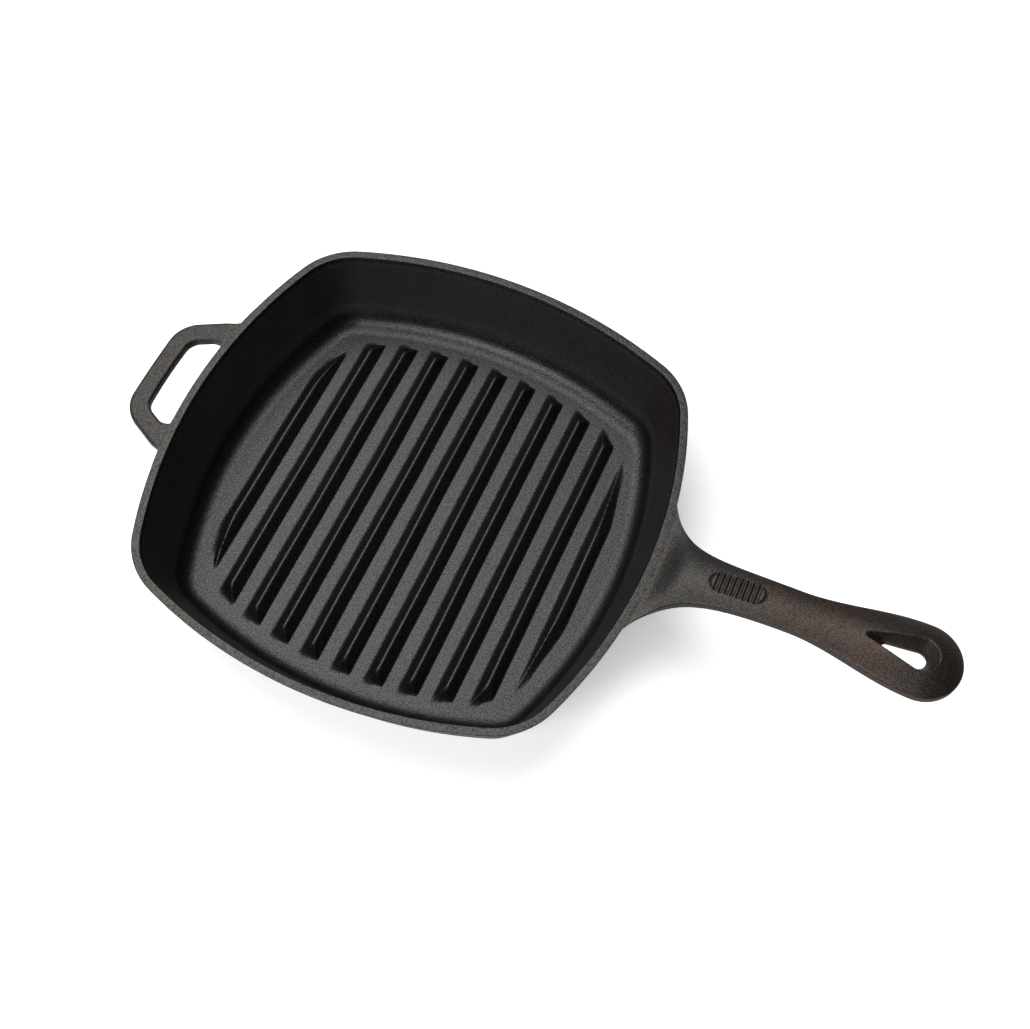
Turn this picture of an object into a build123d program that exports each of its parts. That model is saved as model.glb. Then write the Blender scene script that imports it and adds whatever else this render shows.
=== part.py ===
from build123d import *
import math
import os

os.makedirs("parts", exist_ok=True)

# Square cast-iron grill pan. The origin is the middle of the flat underside,
# +X runs along the long handle and the grill ribs run along Y. The real pan is
# one casting: the nodes are its base, ribs, wall, rim and handles, cut where
# one form ends and the next begins, and they meet face to face.

# The rim seen from above: four bowed sides and four rounded corners, which lie
# corner_trim inside the corners of the square round them
pan_width = 260.0
corner_trim = 36.35
corner_radius = 40.0

# The wall and the floor
pan_height = 50.0
rim_width = 4.3
rim_depth = 8.0
rim_edge_chamfer = 0.7
wall_flare = 14.1
floor_thickness = 5.0
floor_fillet = 7.0
base_edge_chamfer = 3.0

# The grill ribs
rib_count = 11
rib_height = 5.0
rib_base_width = 9.6
rib_crest_width = 1.6
rib_crest_radius = 0.6
rib_margin = 30.4

# The short helper handle on the left
helper_reach = 26.2
helper_bow = 0.8
helper_thickness = 6.0
helper_bar_width = 10.2
helper_arm_width = 10.8
helper_root_width = 89.0
helper_end_width = 58.0
helper_end_radius = 17.0
helper_root_radius = 8.0
helper_root_spread = 11.0
helper_slot_end_radius = 8.0
helper_slot_root_radius = 5.5
helper_slot_clear = 1.0
helper_slot_narrowing = 18.0
helper_edge_chamfer = 1.1
helper_lower_chamfer = 1.2
helper_seat = 10.0

# The long handle on the right
handle_length = 151.9
handle_neck_width = 21.8
handle_end_width = 38.5
handle_root_spread = 21.5
handle_root_blend = 12.7
handle_belly_start = 60.0
handle_edge_drop = 0.3
handle_edge_rise = 14.5
handle_side_height = 2.8
handle_lower_depth = 3.3
handle_lower_chamfer = 2.6
handle_crown_radius = 26.0
handle_root_crown = 0.3
handle_root_ease = 4.0
handle_curve_share = 4.2
handle_station_count = 44
handle_start_share = -0.062
handle_crowding_share = 1.7

# The hanging hole near the handle's end
hole_setback = 2.3
hole_length = 21.7
hole_width = 8.6
hole_tip_width = 3.8
recess_length = 38.0
recess_width = 17.8
recess_tip_width = 2.0
underside_flare = 1.6

# The ribbed thumb rest on the long handle
thumb_place = 39.3
thumb_length = 27.6
thumb_width = 14.0
thumb_depth = 1.8
thumb_groove_count = 7
thumb_groove_pitch = 2.9
thumb_groove_width = 1.4
thumb_groove_depth = 0.8

# How far a cutting tool runs past what it cuts
overrun = 2.0

half_width = pan_width / 2
corner_reach = half_width * math.sqrt(2) - corner_trim
corner_centre = (corner_reach - corner_radius) / math.sqrt(2)
side_reach = half_width - corner_centre
side_radius = (corner_centre**2 + side_reach**2 - corner_radius**2) / (2 * (side_reach - corner_radius))
side_centre = half_width - side_radius
side_half_angle = math.degrees(math.atan2(corner_centre, corner_centre - side_centre))
wall_slope = wall_flare / (pan_height - floor_thickness)
wall_draft = math.degrees(math.atan(wall_slope))
rim_foot = pan_height - rim_depth
foot_inset = rim_width + wall_flare
floor_inset = foot_inset + floor_fillet * math.tan(math.radians(90 - wall_draft) / 2)
rib_flank = (rib_base_width - rib_crest_width) / 2
rib_pitch = 2 * (half_width - rib_margin - rib_base_width) / (rib_count - 1)
rib_foot = floor_thickness
rib_top = rib_foot + rib_height
handle_span = handle_length - handle_end_width / 2
handle_end_centre = half_width + handle_span


def outer_inset(height):
    """How far the wall's outer face lies inside the rim's outline."""
    return (pan_height - height) * wall_slope


def rim_reach(across):
    """How far out the rim lies on one side, at a distance across from its middle."""
    return side_centre + math.sqrt(side_radius**2 - across**2)


def outline_arcs(inset):
    """Centre, radius and start and end angles of the eight arcs of an outline."""
    arcs = []
    for turn in (0, 90, 180, 270):
        middle = Vector(side_centre, 0).rotate(Axis.Z, turn)
        corner = Vector(corner_centre, corner_centre).rotate(Axis.Z, turn)
        arcs.append((middle, side_radius - inset, turn - side_half_angle, turn + side_half_angle))
        arcs.append((corner, corner_radius - inset, turn + side_half_angle, turn + 90 - side_half_angle))
    return arcs


def outline_face(inset, height):
    """The pan's outline, moved inwards by inset, as a flat face at height."""
    edges = []
    for middle, radius, start, end in outline_arcs(inset):
        edges.append(CenterArc((middle.X, middle.Y, height), radius, start, end - start))
    return make_face(Wire(edges))


def tapered_block(low_inset, low, high_inset, high):
    """A solid between two outlines of the pan."""
    return loft([outline_face(low_inset, low), outline_face(high_inset, high)], ruled=True)


def turned_ring(section):
    """Turn a section of the wall, drawn from the rim's outline inwards, round all eight arcs."""
    ring = None
    for middle, radius, start, end in outline_arcs(0):
        direction = Vector(1, 0).rotate(Axis.Z, start)
        plane = Plane((middle.X, middle.Y, 0), x_dir=direction, z_dir=direction.cross(Vector(0, 0, 1)))
        placed = plane * (Pos(radius, 0) * section)
        axis = Axis((middle.X, middle.Y, 0), (0, 0, 1))
        stretch = revolve(placed, axis, end - start)
        ring = stretch if ring is None else ring + stretch
    return ring


def corner_near(face, along, across):
    """The corner of a flat face that lies nearest to a point."""
    return face.vertices().sort_by_distance((along, across, 0))[0]


def side_wall():
    """The leaning wall, with the hollow to the floor and the eased bottom edge."""
    foot = -outer_inset(0)
    centre = (-floor_inset, floor_thickness + floor_fillet)
    hollow = CenterArc(centre, floor_fillet, -90, 90 - wall_draft)
    outside = Polyline(
        hollow @ 1,
        (-rim_width - outer_inset(rim_foot), rim_foot),
        (-outer_inset(rim_foot), rim_foot),
        (foot, 0),
        (-floor_inset, 0),
        hollow @ 0,
    )
    section = make_face(Wire([hollow, *outside.edges()]))
    section = chamfer(corner_near(section, foot, 0), base_edge_chamfer)
    return turned_ring(section)


def rim():
    """The top band of the wall. Its outer edge is crisp, so that the handles run on from its flat top."""
    lean = outer_inset(rim_foot)
    section = make_face(
        Polyline(
            (0, pan_height),
            (-lean, rim_foot),
            (-rim_width - lean, rim_foot),
            (-rim_width, pan_height),
            close=True,
        )
    )
    section = chamfer(corner_near(section, -rim_width, pan_height), rim_edge_chamfer)
    return turned_ring(section)


def base_plate():
    """The flat slab that the ribs stand on."""
    return extrude(outline_face(floor_inset, 0), floor_thickness)


def pan_envelope():
    """The pan's outside as one filled block, run on past the rim, to trim the handles with."""
    top = pan_height + overrun
    return tapered_block(outer_inset(0), 0, outer_inset(top), top)


def rib_profile():
    """One rib cut across: sloping flanks up to a narrow rounded crest."""
    half_base = rib_base_width / 2
    half_crest = rib_crest_width / 2
    profile = make_face(
        Polyline(
            (-half_base, rib_foot),
            (half_base, rib_foot),
            (half_crest, rib_top),
            (-half_crest, rib_top),
            close=True,
        )
    )
    for side in (1, -1):
        profile = fillet(corner_near(profile, side * half_crest, rib_top), rib_crest_radius)
    return profile


def grill_ribs():
    """The row of ribs, trimmed by one sloping edge that follows the wall."""
    field = tapered_block(rib_margin, rib_foot, rib_margin + rib_flank, rib_top)
    profile = rib_profile()
    ribs = []
    for index in range(rib_count):
        place = (index - (rib_count - 1) / 2) * rib_pitch
        plane = Plane((place, 0, 0), x_dir=(1, 0, 0), z_dir=(0, -1, 0))
        bar = extrude(plane * profile, half_width, both=True)
        ribs.append(bar & field)
    return ribs


def bowed_face(inside, half_inside, root, half_root, end, half_end, bow, root_radius, end_radius):
    """A plan shape about the X axis: open into the pan, a bend at its root, a bowed far end."""
    sides = Polyline(
        (end, half_end),
        (root, half_root),
        (inside, half_inside),
        (inside, -half_inside),
        (root, -half_root),
        (end, -half_end),
    )
    far_end = ThreePointArc((end, -half_end), (end - bow, 0), (end, half_end))
    face = make_face(Wire([*sides.edges(), far_end]))
    for side in (1, -1):
        face = fillet(corner_near(face, root, side * half_root), root_radius)
        face = fillet(corner_near(face, end, side * half_end), end_radius)
    return face


def helper_plan():
    """The helper handle seen from above, run on into the pan, with its slot."""
    inside = -half_width + helper_seat
    half_root = helper_root_width / 2
    half_end = helper_end_width / 2
    root = -rim_reach(half_root)
    end = -half_width - helper_reach + helper_bow
    half_inside = half_root + helper_root_spread
    outer = bowed_face(
        inside,
        half_inside,
        root,
        half_root,
        end,
        half_end,
        helper_bow,
        helper_root_radius,
        helper_end_radius,
    )
    slope = (half_root - half_end) / (root - end)
    half_arm = half_end - helper_arm_width * math.hypot(1, slope)
    slot_root = -half_width - helper_slot_clear
    slot_end = end + helper_bar_width
    half_slot_root = half_arm + (slot_root - end) * slope
    half_slot_end = half_arm + (slot_end - end) * slope
    slot = bowed_face(
        inside,
        half_slot_root - helper_slot_narrowing,
        slot_root,
        half_slot_root,
        slot_end,
        half_slot_end,
        helper_bow,
        helper_slot_root_radius,
        helper_slot_end_radius,
    )
    return outer - slot


def helper_handle():
    """The short loop handle, level with the rim's top."""
    body = Pos(0, 0, pan_height - helper_thickness) * extrude(helper_plan(), helper_thickness)
    outside = -half_width + helper_seat - overrun / 2
    top_edges = body.edges().group_by(Axis.Z)[-1].filter_by(lambda edge: edge.center().X < outside)
    body = chamfer(top_edges, helper_edge_chamfer)
    low_edges = body.edges().group_by(Axis.Z)[0].filter_by(lambda edge: edge.center().X < outside)
    body = chamfer(low_edges, helper_lower_chamfer)
    return body - pan_envelope()


def handle_half_width(share):
    """Half the handle's width: wide at the root, slim at the neck, full at the end."""
    distance = share * handle_span
    root = handle_root_spread * math.exp(-distance / handle_root_blend)
    belly = (handle_end_width - handle_neck_width) / 2
    run = (distance - handle_belly_start) / (handle_span - handle_belly_start)
    run = min(max(run, 0), 1)
    return handle_neck_width / 2 + root + belly * (1 - math.cos(math.pi * run)) / 2


def handle_heights(share):
    """Heights of the crest, of the upper edge and of the underside."""
    distance = max(share, 0) * handle_span
    eased_share = (math.hypot(distance, handle_root_ease) - handle_root_ease) / handle_span
    rise = handle_edge_rise * (1 - (1 - eased_share) ** handle_curve_share)
    edge = pan_height - handle_edge_drop + rise
    crown = handle_half_width(share) ** 2 / (2 * handle_crown_radius)
    blend = 1 - math.exp(-((distance / handle_root_blend) ** 2))
    crest = edge + handle_root_crown + (crown - handle_root_crown) * blend
    bottom = edge - handle_side_height - handle_lower_depth
    return crest, edge, bottom


def handle_section(share):
    """The handle cut across: a flat underside with eased edges, upright sides and a crowned top."""
    half = handle_half_width(share)
    crest, edge, bottom = handle_heights(share)
    lower = Polyline((-half, edge), (-half, bottom), (half, bottom), (half, edge))
    crown = ThreePointArc((half, edge), (0, crest), (-half, edge))
    section = make_face(Wire([*lower.edges(), crown]))
    for side in (1, -1):
        section = chamfer(corner_near(section, side * half, bottom), handle_lower_chamfer)
    return section


def handle_body():
    """The solid handle: sections lofted along it, and the last one turned round for the end."""
    sections = []
    for index in range(handle_station_count):
        run = (index / (handle_station_count - 1)) ** handle_crowding_share
        share = handle_start_share + (1 - handle_start_share) * run
        plane = Plane((half_width + share * handle_span, 0, 0), x_dir=(0, 1, 0), z_dir=(1, 0, 0))
        sections.append(plane * handle_section(share))
    shank = loft(sections, ruled=True)
    plane = Plane((handle_end_centre, 0, 0), x_dir=(0, 1, 0), z_dir=(1, 0, 0))
    size = handle_end_width
    half = handle_section(1.0) & (Pos(size / 2, pan_height) * Rectangle(size, 2 * pan_height))
    end = revolve(plane * half, Axis((handle_end_centre, 0, 0), (0, 0, 1)), -180)
    return shank + end


def nose_face(centre, height, length, width, tip):
    """The pointed half of a teardrop: two sides that leave its large arc and meet in a small one."""
    big = width / 2
    small = tip / 2
    reach = length - big - small
    lean = math.degrees(math.asin((big - small) / reach))
    big_arc = CenterArc((centre, 0, height), big, -90 - lean, 180 + 2 * lean)
    small_arc = CenterArc((centre - reach, 0, height), small, 90 + lean, 180 - 2 * lean)
    sides = Polyline(small_arc @ 1, big_arc @ 0, big_arc @ 1, small_arc @ 0)
    return make_face(Wire([small_arc, *sides.edges()]))


def tear_cut(low, high):
    """A teardrop hole between two levels, each given as its height, length, width and tip width."""
    low_height, low_length, low_width, low_tip = low
    high_height, high_length, high_width, high_tip = high
    centre = handle_end_centre - hole_setback
    low_nose = nose_face(centre, low_height, low_length, low_width, low_tip)
    high_nose = nose_face(centre, high_height, high_length, high_width, high_tip)
    depth = high_height - low_height
    bowl = Pos(centre, 0, low_height + depth / 2) * Cone(low_width / 2, high_width / 2, depth)
    return loft([low_nose, high_nose], ruled=True) + bowl


def hanging_hole():
    """The cut for the hanging hole: a narrow waist that opens out to both faces."""
    crest, edge, bottom = handle_heights(1.0)
    waist_height = bottom + handle_lower_depth
    depth = crest - waist_height
    stretch = (depth + overrun) / depth
    top_length = hole_length + (recess_length - hole_length) * stretch
    top_width = hole_width + (recess_width - hole_width) * stretch
    low_length = hole_length + 2 * underside_flare
    low_width = hole_width + 2 * underside_flare
    top = (crest + overrun, top_length, top_width, recess_tip_width)
    waist = (waist_height, hole_length, hole_width, hole_tip_width)
    low = (bottom - overrun, low_length, low_width, hole_tip_width)
    return tear_cut(waist, top) + tear_cut(low, waist)


def thumb_line():
    """A place on the crest at the middle of the thumb rest, tilted with the handle's top."""
    place = thumb_place / handle_span
    half_share = thumb_length / handle_span / 2
    low = handle_heights(place - half_share)[0]
    high = handle_heights(place + half_share)[0]
    slope = math.degrees(math.atan((high - low) / thumb_length))
    return Pos(half_width + thumb_place, 0, (low + high) / 2) * Rot(0, -slope, 0)


def thumb_pad(body):
    """The crown of the handle's top that carries the grooves, down to a flat bed."""
    plan = Pos(half_width + thumb_place, 0, 0) * SlotOverall(thumb_length, thumb_width)
    bed = Pos(0, 0, -thumb_depth - thumb_length / 2) * Box(2 * thumb_length, 2 * thumb_width, thumb_length)
    return (body & extrude(plan, 2 * pan_height)) - thumb_line() * bed


def thumb_blades():
    """The blades that cut the grooves: straight ones across, and a curved one near each end."""
    tall = 2 * thumb_width
    blades = []
    for index in range(thumb_groove_count):
        place = (index - (thumb_groove_count - 1) / 2) * thumb_groove_pitch
        blades.append(Pos(place, 0, 0) * Box(thumb_groove_width, thumb_width + overrun, tall))
    reach = (thumb_groove_count + 1) / 2 * thumb_groove_pitch + thumb_groove_width / 2
    turn_radius = thumb_width / 2
    ring = Cylinder(turn_radius, tall) - Cylinder(turn_radius - thumb_groove_width, tall)
    for side in (1, -1):
        far_half = Pos(side * turn_radius, 0, 0) * Box(thumb_width, thumb_width, tall)
        blades.append(Pos(side * (reach - turn_radius), 0, 0) * (ring & far_half))
    return blades


def thumb_rest(pad):
    """The pad with its grooves, cut flat, so that they run out where the crown falls away."""
    lift = Pos(0, 0, thumb_width - thumb_groove_depth)
    for blade in thumb_blades():
        pad = pad - thumb_line() * lift * blade
    return pad


def save(shape, name):
    """Write one node."""
    shape.label = name
    export_step(shape, f"parts/{name}.step")


handle = handle_body() - pan_envelope() - hanging_hole()
pad = thumb_pad(handle)

save(base_plate(), "base_plate")
save(side_wall(), "side_wall")
save(rim(), "rim")
for number, rib in enumerate(grill_ribs(), start=1):
    save(rib, f"grill_rib_{number:02d}")
save(helper_handle(), "helper_handle")
save(handle - pad, "main_handle")
save(thumb_rest(pad), "thumb_rest")
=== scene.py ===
"""Dresses a packed square cast-iron grill pan: its surfaces, its finish, a pale floor and a camera."""

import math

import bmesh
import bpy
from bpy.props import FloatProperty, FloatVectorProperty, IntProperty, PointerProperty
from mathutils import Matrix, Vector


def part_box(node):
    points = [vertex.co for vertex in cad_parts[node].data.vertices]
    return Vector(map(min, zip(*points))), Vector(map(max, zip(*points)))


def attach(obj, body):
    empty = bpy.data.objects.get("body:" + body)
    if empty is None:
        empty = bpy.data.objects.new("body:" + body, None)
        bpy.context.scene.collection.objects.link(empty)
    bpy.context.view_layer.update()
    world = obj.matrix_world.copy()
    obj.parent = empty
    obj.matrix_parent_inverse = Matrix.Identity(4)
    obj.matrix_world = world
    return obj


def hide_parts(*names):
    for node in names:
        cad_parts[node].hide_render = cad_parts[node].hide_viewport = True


bl_info = {
    "name": "Cast-Iron Grill Pan",
    "version": (1, 0, 0),
    "blender": (4, 5, 0),
    "location": "3D View > Sidebar > Grill Pan",
    "description": "Builds the surfaces and the finish of a square grill pan round its packed model",
    "category": "Add Mesh",
}

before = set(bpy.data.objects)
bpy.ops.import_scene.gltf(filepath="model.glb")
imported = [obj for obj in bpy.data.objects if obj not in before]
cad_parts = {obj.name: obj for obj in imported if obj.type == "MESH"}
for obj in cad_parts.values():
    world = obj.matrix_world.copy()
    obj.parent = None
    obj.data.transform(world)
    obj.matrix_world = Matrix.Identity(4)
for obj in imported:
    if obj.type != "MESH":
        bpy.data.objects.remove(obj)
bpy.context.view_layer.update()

# Units, and the name of the body that the pieces hang from
MM = 0.001
BODY = "root"

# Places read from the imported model
RIM_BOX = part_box("rim")
SLAB_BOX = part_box("base_plate")
HELPER_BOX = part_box("helper_handle")
HANDLE_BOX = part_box("main_handle")
RIB_NODES = sorted(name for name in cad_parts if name.startswith("grill_rib_"))
MIDDLE_RIB_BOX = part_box(RIB_NODES[len(RIB_NODES) // 2])
HALF_WIDTH = RIM_BOX[1].y
PAN_TOP = RIM_BOX[1].z
RIM_FOOT = RIM_BOX[0].z
FLOOR_TOP = SLAB_BOX[1].z


def middle_x(box):
    """The middle of a box along X."""
    return (box[0].x + box[1].x) / 2


RIB_PITCH = (middle_x(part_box(RIB_NODES[-1])) - middle_x(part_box(RIB_NODES[0]))) / (len(RIB_NODES) - 1)


def length(name, description, default):
    """A size in metres that a user may change."""
    return FloatProperty(name=name, description=description, default=default, unit="LENGTH", precision=5)


def amount(name, description, default):
    """A plain number that a user may change."""
    return FloatProperty(name=name, description=description, default=default, precision=4)


def colour(name, description, default):
    """A linear colour that a user may change."""
    return FloatVectorProperty(name=name, description=description, default=default, subtype="COLOR", size=3)


class PanSizes(bpy.types.PropertyGroup):
    """Sizes of the pan's wall, rim and floor."""

    corner_trim: length("Corner trim", "How far the corners lie inside those of a square", 36.35 * MM)
    corner_radius: length("Corner radius", "Radius of the rim's four corners", 40 * MM)
    rim_width: length("Rim width", "Width of the rim's flat top", 4.3 * MM)
    outer_edge: length("Rim outer edge", "Rounding of the rim's outer edge", 0.45 * MM)
    inner_edge: length("Rim inner edge", "Rounding of the rim's inner edge", 0.4 * MM)
    wall_flare: length("Wall flare", "How far the wall leans out from floor to rim", 14.1 * MM)
    floor_fillet: length("Floor fillet", "Radius between the wall and the floor", 9.5 * MM)
    base_edge: length("Base edge", "Rounding of the wall's bottom edge", 4 * MM)
    side_steps: IntProperty(name="Side steps", description="Stations along a bowed side", default=96)
    corner_steps: IntProperty(name="Corner steps", description="Stations round a corner", default=28)


class RibSizes(bpy.types.PropertyGroup):
    """Sizes of the grill ribs."""

    shift: length("Shift", "How far the row of ribs sits off the pan's middle", 1.85 * MM)
    half_reach: length("Half reach", "From a rib's crest to the end of its foot's hollow", 8.2 * MM)
    flank_slope: amount("Flank slope", "Rise of a rib's flanks", 1.35)
    end_slope: amount("End slope", "Rise of a rib's ends", 0.95)
    crest_round: length("Crest rounding", "Width of the rounding along a rib's crest", 1.4 * MM)
    foot_round: length("Foot rounding", "Height of the hollow at a rib's left foot", 3.4 * MM)
    right_foot: length("Right foot", "Height of the hollow at a rib's right foot", 0.9 * MM)
    end_round: length("End rounding", "Height over which crest and end run together", 1.2 * MM)
    margin: length("Margin", "From the rim's outline in to the ribs' ends", 31.2 * MM)
    corner_radius: length("Corner radius", "Radius of the rib field's corners, at the rim's outline", 70 * MM)
    wander: length("Wander", "How far a crest strays from its middle", 0.45 * MM)
    steps_across: IntProperty(name="Steps across", description="Points across a rib", default=41)
    steps_along: IntProperty(name="Steps along", description="Points along a rib", default=91)


class HelperSizes(bpy.types.PropertyGroup):
    """Sizes of the short helper handle."""

    bow: length("Bow", "How far the bar bows outwards", 0.8 * MM)
    bar_width: length("Bar width", "Width of the far bar", 10.2 * MM)
    arm_width: length("Arm width", "Width of the two arms", 10.8 * MM)
    root_width: length("Root width", "Width over both arms at the rim", 89 * MM)
    end_width: length("End width", "Width over both arms at the bar", 58 * MM)
    end_radius: length("End radius", "Outer bend between bar and arm", 17 * MM)
    root_radius: length("Root radius", "Outer bend between arm and rim", 8 * MM)
    root_spread: length("Root spread", "How far the bend at the root opens out", 11 * MM)
    slot_end_radius: length("Slot end radius", "Inner bend between bar and arm", 8 * MM)
    slot_root_radius: length("Slot root radius", "Inner bend between arm and rim", 5.5 * MM)
    slot_clear: length("Slot clearance", "From the rim's outline to the slot's straight root", 1 * MM)
    slot_narrowing: length("Slot narrowing", "How far the slot's root closes in", 18 * MM)
    seat: length("Seat", "How far the outlines run on into the pan", 10 * MM)
    edge: length("Edge rounding", "Rounding of the handle's edges", 2.0 * MM)


class HandleSizes(bpy.types.PropertyGroup):
    """Sizes of the long handle and its hanging hole."""

    neck_width: length("Neck width", "Width of the slim neck", 21.8 * MM)
    end_width: length("End width", "Width of the round end", 38.5 * MM)
    root_spread: length("Root spread", "How far each side opens out at the rim", 21.5 * MM)
    root_blend: length("Root blend", "Length over which the root closes in", 12.7 * MM)
    belly_start: length("Belly start", "Where the handle starts to widen again", 69 * MM)
    edge_drop: length("Edge drop", "How far the upper edge starts below the rim", 0.3 * MM)
    edge_rise: length("Edge rise", "How far the upper edge climbs", 14.5 * MM)
    side_height: length("Side height", "Height of the upright side", 2.8 * MM)
    lower_depth: length("Lower depth", "From the side's foot to the underside", 3.3 * MM)
    lower_edge: length("Lower edge", "Rounding of the lower edges", 2.6 * MM)
    upper_edge: length("Upper edge", "Rounding of the upper edges", 0.9 * MM)
    crown_radius: length("Crown radius", "Radius of the crowned top", 26 * MM)
    root_crown: length("Root crown", "Height of the crown at the rim", 0.3 * MM)
    root_ease: length("Root ease", "Length over which the climb starts", 4 * MM)
    curve_share: amount("Curve", "How early the handle climbs", 4.2)
    hole_setback: length("Hole setback", "From the end's centre to the hole's round end", 2.3 * MM)
    hole_length: length("Hole length", "Length of the hole at its waist", 21.7 * MM)
    hole_width: length("Hole width", "Width of the hole at its waist", 8.6 * MM)
    hole_tip: length("Hole tip", "Width of the hole's pointed end", 4.8 * MM)
    recess_length: length("Recess length", "Length of the hole at the top", 38 * MM)
    recess_width: length("Recess width", "Width of the hole at the top", 17.8 * MM)
    recess_tip: length("Recess tip", "Width of the recess's pointed end", 2.6 * MM)
    recess_edge: length("Recess edge", "Height over which the recess's edge is eased", 1.1 * MM)
    flare: length("Flare", "How far the hole opens out at the underside", 1.0 * MM)


class ThumbSizes(bpy.types.PropertyGroup):
    """Sizes of the ribbed thumb rest."""

    place: length("Place", "From the rim to the thumb rest's middle", 40.9 * MM)
    pad_length: length("Length", "Length of the thumb rest", 31.6 * MM)
    pad_width: length("Width", "Width of the thumb rest", 14 * MM)
    pitch: length("Pitch", "From groove to groove", 2.9 * MM)
    groove_width: length("Groove width", "Width of a groove", 1.5 * MM)
    softness: length("Softness", "Width of a groove's sloping side", 1.2 * MM)
    depth: length("Depth", "Depth of a groove", 1.0 * MM)
    bend_gap: length("Bend gap", "From the row of grooves to the curved ones, past one pitch", 1.0 * MM)
    skirt: length("Skirt", "Thickness of the pad", 2.2 * MM)
    border: length("Border", "Width over which the pad's edge dips under the handle's skin", 0.5 * MM)
    groove_count: IntProperty(name="Grooves", description="Number of straight grooves", default=8)
    steps_along: IntProperty(name="Steps along", description="Points along the pad", default=181)
    steps_across: IntProperty(name="Steps across", description="Points across the pad", default=61)


class IronFinish(bpy.types.PropertyGroup):
    """Colours and relief of the seasoned cast iron."""

    black: colour("Black", "The dull seasoned iron's own colour", (0.0035, 0.0034, 0.0034))
    brown: colour("Brown", "The warm bloom of the seasoning", (0.060, 0.036, 0.022))
    rust: colour("Rust", "What the glossy iron reflects under the bloom", (0.064, 0.043, 0.033))
    floor_iron: colour("Floor iron", "What the glossy iron of the floor reflects", (0.041, 0.042, 0.044))
    rim_iron: colour("Rim iron", "What the glossy iron of the rim reflects", (0.045, 0.044, 0.042))
    handle_iron: colour("Handle iron", "What the handles' glossy iron reflects", (0.051, 0.0475, 0.0445))
    floor_speckle: amount("Floor speckle", "Contrast of the grain on the floor", 4.0)
    wall_speckle: amount("Wall speckle", "Contrast of the grain on the wall and the rim", 4.0)
    handle_speckle: amount("Handle speckle", "Contrast of the grain on the handles", 4.0)
    floor_gloss: amount("Floor roughness", "Gloss of the cooking surface: 0 is a mirror", 0.42)
    wall_gloss: amount("Wall roughness", "Gloss of the wall and the rim", 0.44)
    handle_gloss: amount("Handle roughness", "Gloss of the handles", 0.50)
    grain_size: length("Grain size", "Size of the sand-cast grain", 0.7 * MM)
    grain_depth: length("Grain depth", "Depth of the sand-cast grain", 0.15 * MM)


class StudioSettings(bpy.types.PropertyGroup):
    """The floor, the lamps and the camera."""

    floor_size: length("Floor size", "Width of the floor", 12.0)
    azimuth: amount("Azimuth", "Camera's turn from looking along +Y, in degrees", 21.26)
    elevation: amount("Elevation", "Camera's height angle, in degrees", 62.24)
    roll: amount("Roll", "Camera's roll, in degrees", 2.91)
    distance: length("Distance", "From the camera to its target", 0.69862)
    target: FloatVectorProperty(
        name="Target",
        description="Where the camera looks",
        default=(0.05486, -0.00199, 0.050),
        subtype="TRANSLATION",
        unit="LENGTH",
    )
    lens: amount("Lens", "Focal length in millimetres on a 36 mm sensor", 48.67)
    soft_box_power: amount("Soft box", "Power of the large soft box, in watts", 14.5)
    near_box_power: amount("Near box", "Power of the soft box on the near side, in watts", 12.0)
    fill: amount("Fill", "Strength of the even light from all round", 0.025)
    glow: amount("Floor glow", "How much the floor is lifted towards white for the camera", 0.42)


# The shape of the pan seen from above


def pan_sizes():
    """The pan's sizes as the user has set them."""
    return bpy.context.scene.grill_pan_sizes


class Outline:
    """The rim's outline: four bowed sides and four corners, all arcs that run smoothly together."""

    def __init__(self, sizes):
        self.corner_radius = sizes.corner_radius
        reach = HALF_WIDTH * math.sqrt(2) - sizes.corner_trim
        self.corner_centre = (reach - sizes.corner_radius) / math.sqrt(2)
        side_reach = HALF_WIDTH - self.corner_centre
        square = self.corner_centre**2 + side_reach**2 - sizes.corner_radius**2
        self.side_radius = square / (2 * (side_reach - sizes.corner_radius))
        self.side_centre = HALF_WIDTH - self.side_radius
        self.half_angle = math.atan2(self.corner_centre, self.corner_centre - self.side_centre)

    def round_corners(self, radius):
        """Give the corners another radius and leave the bowed sides where they are."""
        reach = self.side_radius - radius
        self.corner_radius = radius
        self.corner_centre = (self.side_centre + math.sqrt(2 * reach**2 - self.side_centre**2)) / 2
        self.half_angle = math.atan2(self.corner_centre, self.corner_centre - self.side_centre)

    def stations(self, side_steps, corner_steps):
        """Centre, radius and outward direction at even steps round the outline."""
        found = []
        for quarter in range(4):
            turn = quarter * math.pi / 2
            side = Vector((self.side_centre, 0)) @ Matrix.Rotation(-turn, 2)
            corner = Vector((self.corner_centre, self.corner_centre)) @ Matrix.Rotation(-turn, 2)
            start = turn - self.half_angle
            for step in range(side_steps):
                angle = start + 2 * self.half_angle * step / side_steps
                found.append((side, self.side_radius, Vector((math.cos(angle), math.sin(angle)))))
            start = turn + self.half_angle
            sweep = math.pi / 2 - 2 * self.half_angle
            for step in range(corner_steps):
                angle = start + sweep * step / corner_steps
                found.append((corner, self.corner_radius, Vector((math.cos(angle), math.sin(angle)))))
        return found

    def reach(self, across):
        """How far out a bowed side lies at a distance across from its middle."""
        return self.side_centre + math.sqrt(self.side_radius**2 - across**2)


def wall_slope(sizes):
    """How far the wall moves in for each metre down."""
    return sizes.wall_flare / (PAN_TOP - FLOOR_TOP)


def smooth_step(value):
    """Rises smoothly from 0 to 1."""
    value = min(max(value, 0), 1)
    return value * value * (3 - 2 * value)


def smooth_min(first, second, width):
    """The lower of two values, eased over a width where they cross."""
    share = max(width - abs(first - second), 0) / width
    return min(first, second) - share * share * width / 4


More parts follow.
